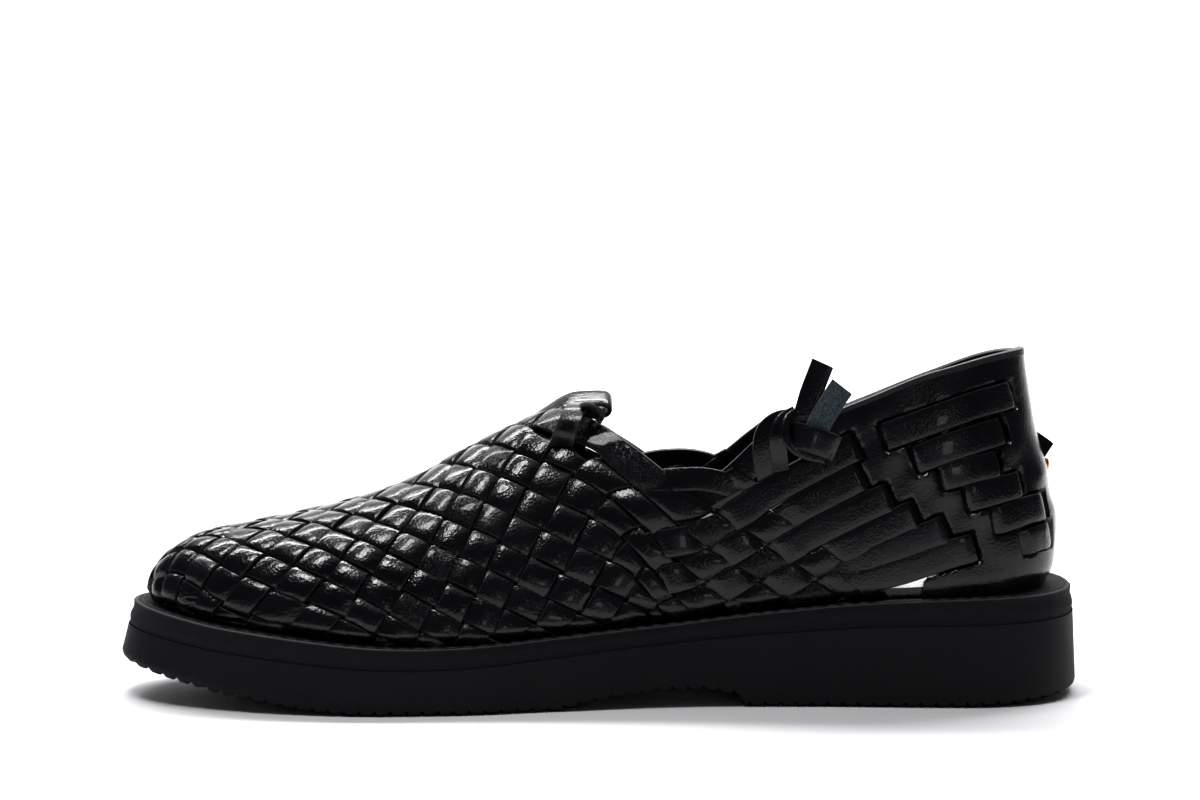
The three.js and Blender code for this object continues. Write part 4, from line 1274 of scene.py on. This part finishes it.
class Nodes:
    """Short hand for a material's nodes."""

    def __init__(self, name):
        self.material = bpy.data.materials.new(name)
        self.material.use_nodes = True
        self.tree = self.material.node_tree
        self.shader = next(node for node in self.tree.nodes if node.type == "BSDF_PRINCIPLED")
        self.place = self.add("ShaderNodeTexCoord").outputs["Object"]

    def add(self, kind, **settings):
        node = self.tree.nodes.new(kind)
        for name, value in settings.items():
            setattr(node, name, value)
        return node

    def put(self, socket, value):
        if isinstance(value, bpy.types.NodeSocket):
            self.tree.links.new(value, socket)
        else:
            socket.default_value = value

    def noise(self, scale, detail=3.0, roughness=0.55, stretch=None):
        node = self.add("ShaderNodeTexNoise")
        node.inputs["Scale"].default_value = scale
        node.inputs["Detail"].default_value = detail
        node.inputs["Roughness"].default_value = roughness
        place = self.place
        if stretch:
            mapping = self.add("ShaderNodeMapping")
            mapping.inputs["Scale"].default_value = stretch
            self.put(mapping.inputs["Vector"], place)
            place = mapping.outputs["Vector"]
        self.put(node.inputs["Vector"], place)
        return node.outputs["Fac"]

    def cells(self, scale):
        node = self.add("ShaderNodeTexVoronoi")
        node.inputs["Scale"].default_value = scale
        self.put(node.inputs["Vector"], self.place)
        return node.outputs["Distance"]

    def attribute(self, name):
        return self.add("ShaderNodeAttribute", attribute_name=name).outputs["Fac"]

    def math(self, operation, first, second=0.0):
        node = self.add("ShaderNodeMath", operation=operation)
        self.put(node.inputs[0], first)
        self.put(node.inputs[1], second)
        return node.outputs[0]

    def spread(self, value, low, high, to_low=0.0, to_high=1.0):
        node = self.add("ShaderNodeMapRange")
        for name, number in (("From Min", low), ("From Max", high), ("To Min", to_low), ("To Max", to_high)):
            node.inputs[name].default_value = number
        self.put(node.inputs["Value"], value)
        return node.outputs["Result"]

    def mix(self, factor, first, second):
        node = self.add("ShaderNodeMix", data_type="RGBA")
        self.put(node.inputs["Factor"], factor)
        for socket, value in ((node.inputs[6], first), (node.inputs[7], second)):
            self.put(socket, (*value, 1.0) if isinstance(value, tuple) else value)
        return node.outputs[2]

    def bump(self, height, strength, distance, under=None):
        node = self.add("ShaderNodeBump")
        node.inputs["Strength"].default_value = strength
        node.inputs["Distance"].default_value = distance
        self.put(node.inputs["Height"], height)
        if under is not None:
            self.put(node.inputs["Normal"], under)
        return node.outputs["Normal"]

    def finish(self, colour, roughness, normal, **numbers):
        self.put(self.shader.inputs["Base Color"], (*colour, 1.0) if isinstance(colour, tuple) else colour)
        self.put(self.shader.inputs["Roughness"], roughness)
        self.put(self.shader.inputs["Normal"], normal)
        for name, value in numbers.items():
            self.shader.inputs[name.replace("_", " ")].default_value = value
        return self.material


def leather_nodes(name, dark, worn, raw, gloss, grain):
    n = Nodes(name)
    rim = n.attribute("rim")
    shade = n.attribute("shade")
    patches = n.noise(90, 4)
    colour = n.mix(n.spread(patches, 0.35, 0.7), dark, worn)
    fray = n.spread(n.math("ADD", rim, n.math("MULTIPLY", n.noise(900, 4), 0.5)), 0.85, 1.35)
    colour = n.mix(fray, colour, raw)
    rough = n.spread(n.math("ADD", patches, n.math("MULTIPLY", shade, 0.35)), 0.3, 1.0, gloss, gloss + 0.2)
    rough = n.math("ADD", rough, n.math("MULTIPLY", fray, 0.6))
    wrinkled = n.spread(shade, -0.2, -0.8)
    wrinkles = n.math("MULTIPLY", n.noise(420, 3, 0.7, (2.6, 0.6, 0.6)), wrinkled)
    creases = n.bump(n.noise(260, 5, 0.6), 0.25, 0.0006, n.bump(wrinkles, 1.0, 0.0019))
    pores = n.bump(n.cells(1200), grain, 0.0002, creases)
    normal = n.bump(n.noise(3200, 3, 0.6), grain * 0.5, 0.0001, pores)
    return n.finish(colour, rough, normal, Coat_Weight=0.3, Coat_Roughness=0.07, Specular_IOR_Level=0.42)


@cache
def leather_strip():
    return leather_nodes("black_strip_leather", (0.0028, 0.0023, 0.0042), (0.0062, 0.0052, 0.0084),
                         (0.04, 0.037, 0.042), 0.12, 0.42)


@cache
def counter_leather():
    return leather_nodes("black_counter_leather", (0.0030, 0.0025, 0.0044), (0.0064, 0.0054, 0.0086),
                         (0.03, 0.028, 0.032), 0.15, 0.36)


@cache
def footbed_leather():
    return leather_nodes("footbed_leather", (0.008, 0.008, 0.009), (0.014, 0.013, 0.014),
                         (0.03, 0.03, 0.03), 0.06, 0.05)


# Painted shade of the shoe's inside: a dark mottled colour with a fine bump, for the sheet under the strips
@cache
def shade_sheet_colour():
    n = Nodes("painted_inner_shade")
    mottle = n.noise(1200, 4)
    return n.finish(n.mix(mottle, (0.004, 0.004, 0.005), (0.012, 0.011, 0.012)), 0.85, n.bump(mottle, 0.5, 0.0003))


@cache
def flesh_leather():
    n = Nodes("suede_flesh_side")
    mottle = n.noise(1400, 5, 0.7)
    colour = n.mix(n.spread(mottle, 0.35, 0.68), (0.012, 0.018, 0.024), (0.085, 0.115, 0.135))
    normal = n.bump(mottle, 0.6, 0.0004)
    return n.finish(colour, 0.9, normal, Sheen_Weight=0.3, Sheen_Roughness=0.5)


@cache
def rubber():
    n = Nodes("black_rubber")
    cloud = n.noise(45, 4)
    colour = n.mix(n.spread(cloud, 0.3, 0.75), (0.0040, 0.0031, 0.0058), (0.0072, 0.0060, 0.0096))
    speck = n.noise(2600, 3, 0.7)
    rough = n.spread(n.math("ADD", cloud, n.math("MULTIPLY", speck, 0.3)), 0.4, 1.0, 0.5, 0.68)
    normal = n.bump(speck, 0.12, 0.00015, n.bump(n.noise(130, 3), 0.12, 0.0008))
    return n.finish(colour, rough, normal, Specular_IOR_Level=0.3)


@cache
def midsole_leather():
    n = Nodes("cut_leather_edge")
    rim = n.attribute("rim")
    fibre = n.noise(900, 6, 0.7, (1.0, 1.0, 3.5))
    colour = n.mix(n.spread(fibre, 0.35, 0.75), (0.0050, 0.0042, 0.0070), (0.016, 0.0145, 0.0195))
    worn = n.spread(n.math("ADD", rim, n.math("MULTIPLY", fibre, 0.8)), 1.15, 1.6)
    colour = n.mix(worn, colour, (0.16, 0.155, 0.16))
    normal = n.bump(fibre, 0.7, 0.0006, n.bump(n.noise(160, 4), 0.3, 0.0012))
    return n.finish(colour, n.spread(fibre, 0.3, 0.8, 0.6, 0.85), normal, Specular_IOR_Level=0.3)


@cache
def thread():
    n = Nodes("waxed_thread")
    twist = n.noise(2400, 2, 0.5, (1.0, 1.0, 0.4))
    colour = n.mix(twist, (0.02, 0.02, 0.022), (0.06, 0.058, 0.06))
    return n.finish(colour, 0.55, n.bump(twist, 0.5, 0.0002))


@cache
def brass():
    n = Nodes("old_brass")
    tarnish = n.noise(900, 4)
    colour = n.mix(n.spread(tarnish, 0.4, 0.75), (0.72, 0.46, 0.14), (0.30, 0.17, 0.06))
    rough = n.spread(tarnish, 0.3, 0.8, 0.22, 0.5)
    return n.finish(colour, rough, n.bump(tarnish, 0.2, 0.0002), Metallic=1.0)


@cache
def floor_paint():
    n = Nodes("pale_floor")
    return n.finish((0.86, 0.86, 0.87), n.spread(n.noise(3, 2), 0.3, 0.7, 0.6, 0.7),
                    n.bump(n.noise(400, 2), 0.02, 0.0002))


def dress_frame():
    """Materials of the frame's own pieces that stay."""
    for name, look in (("insole", footbed_leather), ("rivet", brass)):
        materials = bpy.data.objects[name].data.materials
        materials.clear()
        materials.append(look())


# Studio

def make_camera():
    data = bpy.data.cameras.new("photo_camera")
    data.lens = FOCAL
    data.sensor_width = SENSOR
    camera = bpy.data.objects.new("photo_camera", data)
    camera.location = (0.0, -CAMERA_AWAY * MM, CAMERA_UP * MM)
    aim = Vector((0.0, 0.0, CAMERA_AIM * MM)) - camera.location
    camera.rotation_euler = aim.to_track_quat("-Z", "Y").to_euler()
    bpy.context.scene.collection.objects.link(camera)
    bpy.context.scene.camera = camera


# Lights: place, aim, size and power
LIGHTS = {
    "key": ((-0.25, -0.26, 1.13), (-0.04, 0, 0.03), (0.2, 0.42), 6.5),
    "overhead": ((0.1, 0.0, 1.6), (0, -0.1, 0), (1.6, 1.2), 4),
    "heel_glint": ((0.3, -1.08, 0.25), (0.11, -0.03, 0.07), (0.16, 0.16), 0.3),
    "back_wash": ((0.0, 1.0, 1.9), (0, 2.2, 0.4), (3.0, 0.6), 110),
    "floor_wash": ((0.0, 0.9, 1.6), (0, 0.75, 0), (2.4, 0.5), 20),
}
WORLD_COLOUR = (0.95, 0.96, 1.0, 1.0)
WORLD_STRENGTH = 0.1
GAMMA = 0.78


def make_light(name, place, aim, size, power):
    data = bpy.data.lights.new(name, "AREA")
    data.shape = "RECTANGLE"
    data.size, data.size_y = size
    data.energy = power
    light = bpy.data.objects.new(name, data)
    light.location = place
    light.rotation_euler = (Vector(aim) - Vector(place)).to_track_quat("-Z", "Y").to_euler()
    bpy.context.scene.collection.objects.link(light)


FLOOR_FRONT = -4.0
FLOOR_BACK = 1.6
SWEEP_RADIUS = 1.2
SWEEP_TOP = 3.0
FLOOR_SIDE = 4.0


def make_floor():
    """Pale floor that sweeps up behind the shoe."""
    turns = np.linspace(0, math.pi / 2, 24)
    profile = [(FLOOR_FRONT, 0.0)]
    profile += [(FLOOR_BACK + SWEEP_RADIUS * math.sin(t), SWEEP_RADIUS * (1 - math.cos(t))) for t in turns]
    profile.append((FLOOR_BACK + SWEEP_RADIUS, SWEEP_TOP))
    points = [(x, y, z) for y, z in profile for x in (-FLOOR_SIDE, FLOOR_SIDE)]
    faces = [(2 * i, 2 * i + 1, 2 * i + 3, 2 * i + 2) for i in range(len(profile) - 1)]
    mesh = bpy.data.meshes.new("floor")
    mesh.from_pydata(points, [], faces)
    mesh.materials.append(floor_paint())
    mesh.polygons.foreach_set("use_smooth", np.ones(len(faces), dtype=bool))
    floor = bpy.data.objects.new("floor", mesh)
    bpy.context.scene.collection.objects.link(floor)


def make_studio():
    make_floor()
    world = bpy.data.worlds.new("studio")
    world.use_nodes = True
    backing = world.node_tree.nodes["Background"]
    backing.inputs["Color"].default_value = WORLD_COLOUR
    backing.inputs["Strength"].default_value = WORLD_STRENGTH
    scene = bpy.context.scene
    scene.world = world
    scene.view_settings.view_transform = "Standard"
    scene.view_settings.look = "None"
    scene.view_settings.gamma = GAMMA
    for name, settings in LIGHTS.items():
        make_light(name, *settings)


make_camera()
make_studio()
make_vamp()
make_quarter()
make_top_straps()
make_counter()
make_laced()
make_ties()
make_throat_loops()
make_back_fold()
make_shade_sheet()
make_outsole()
make_midsole()
make_ledge_stitches()
dress_frame()
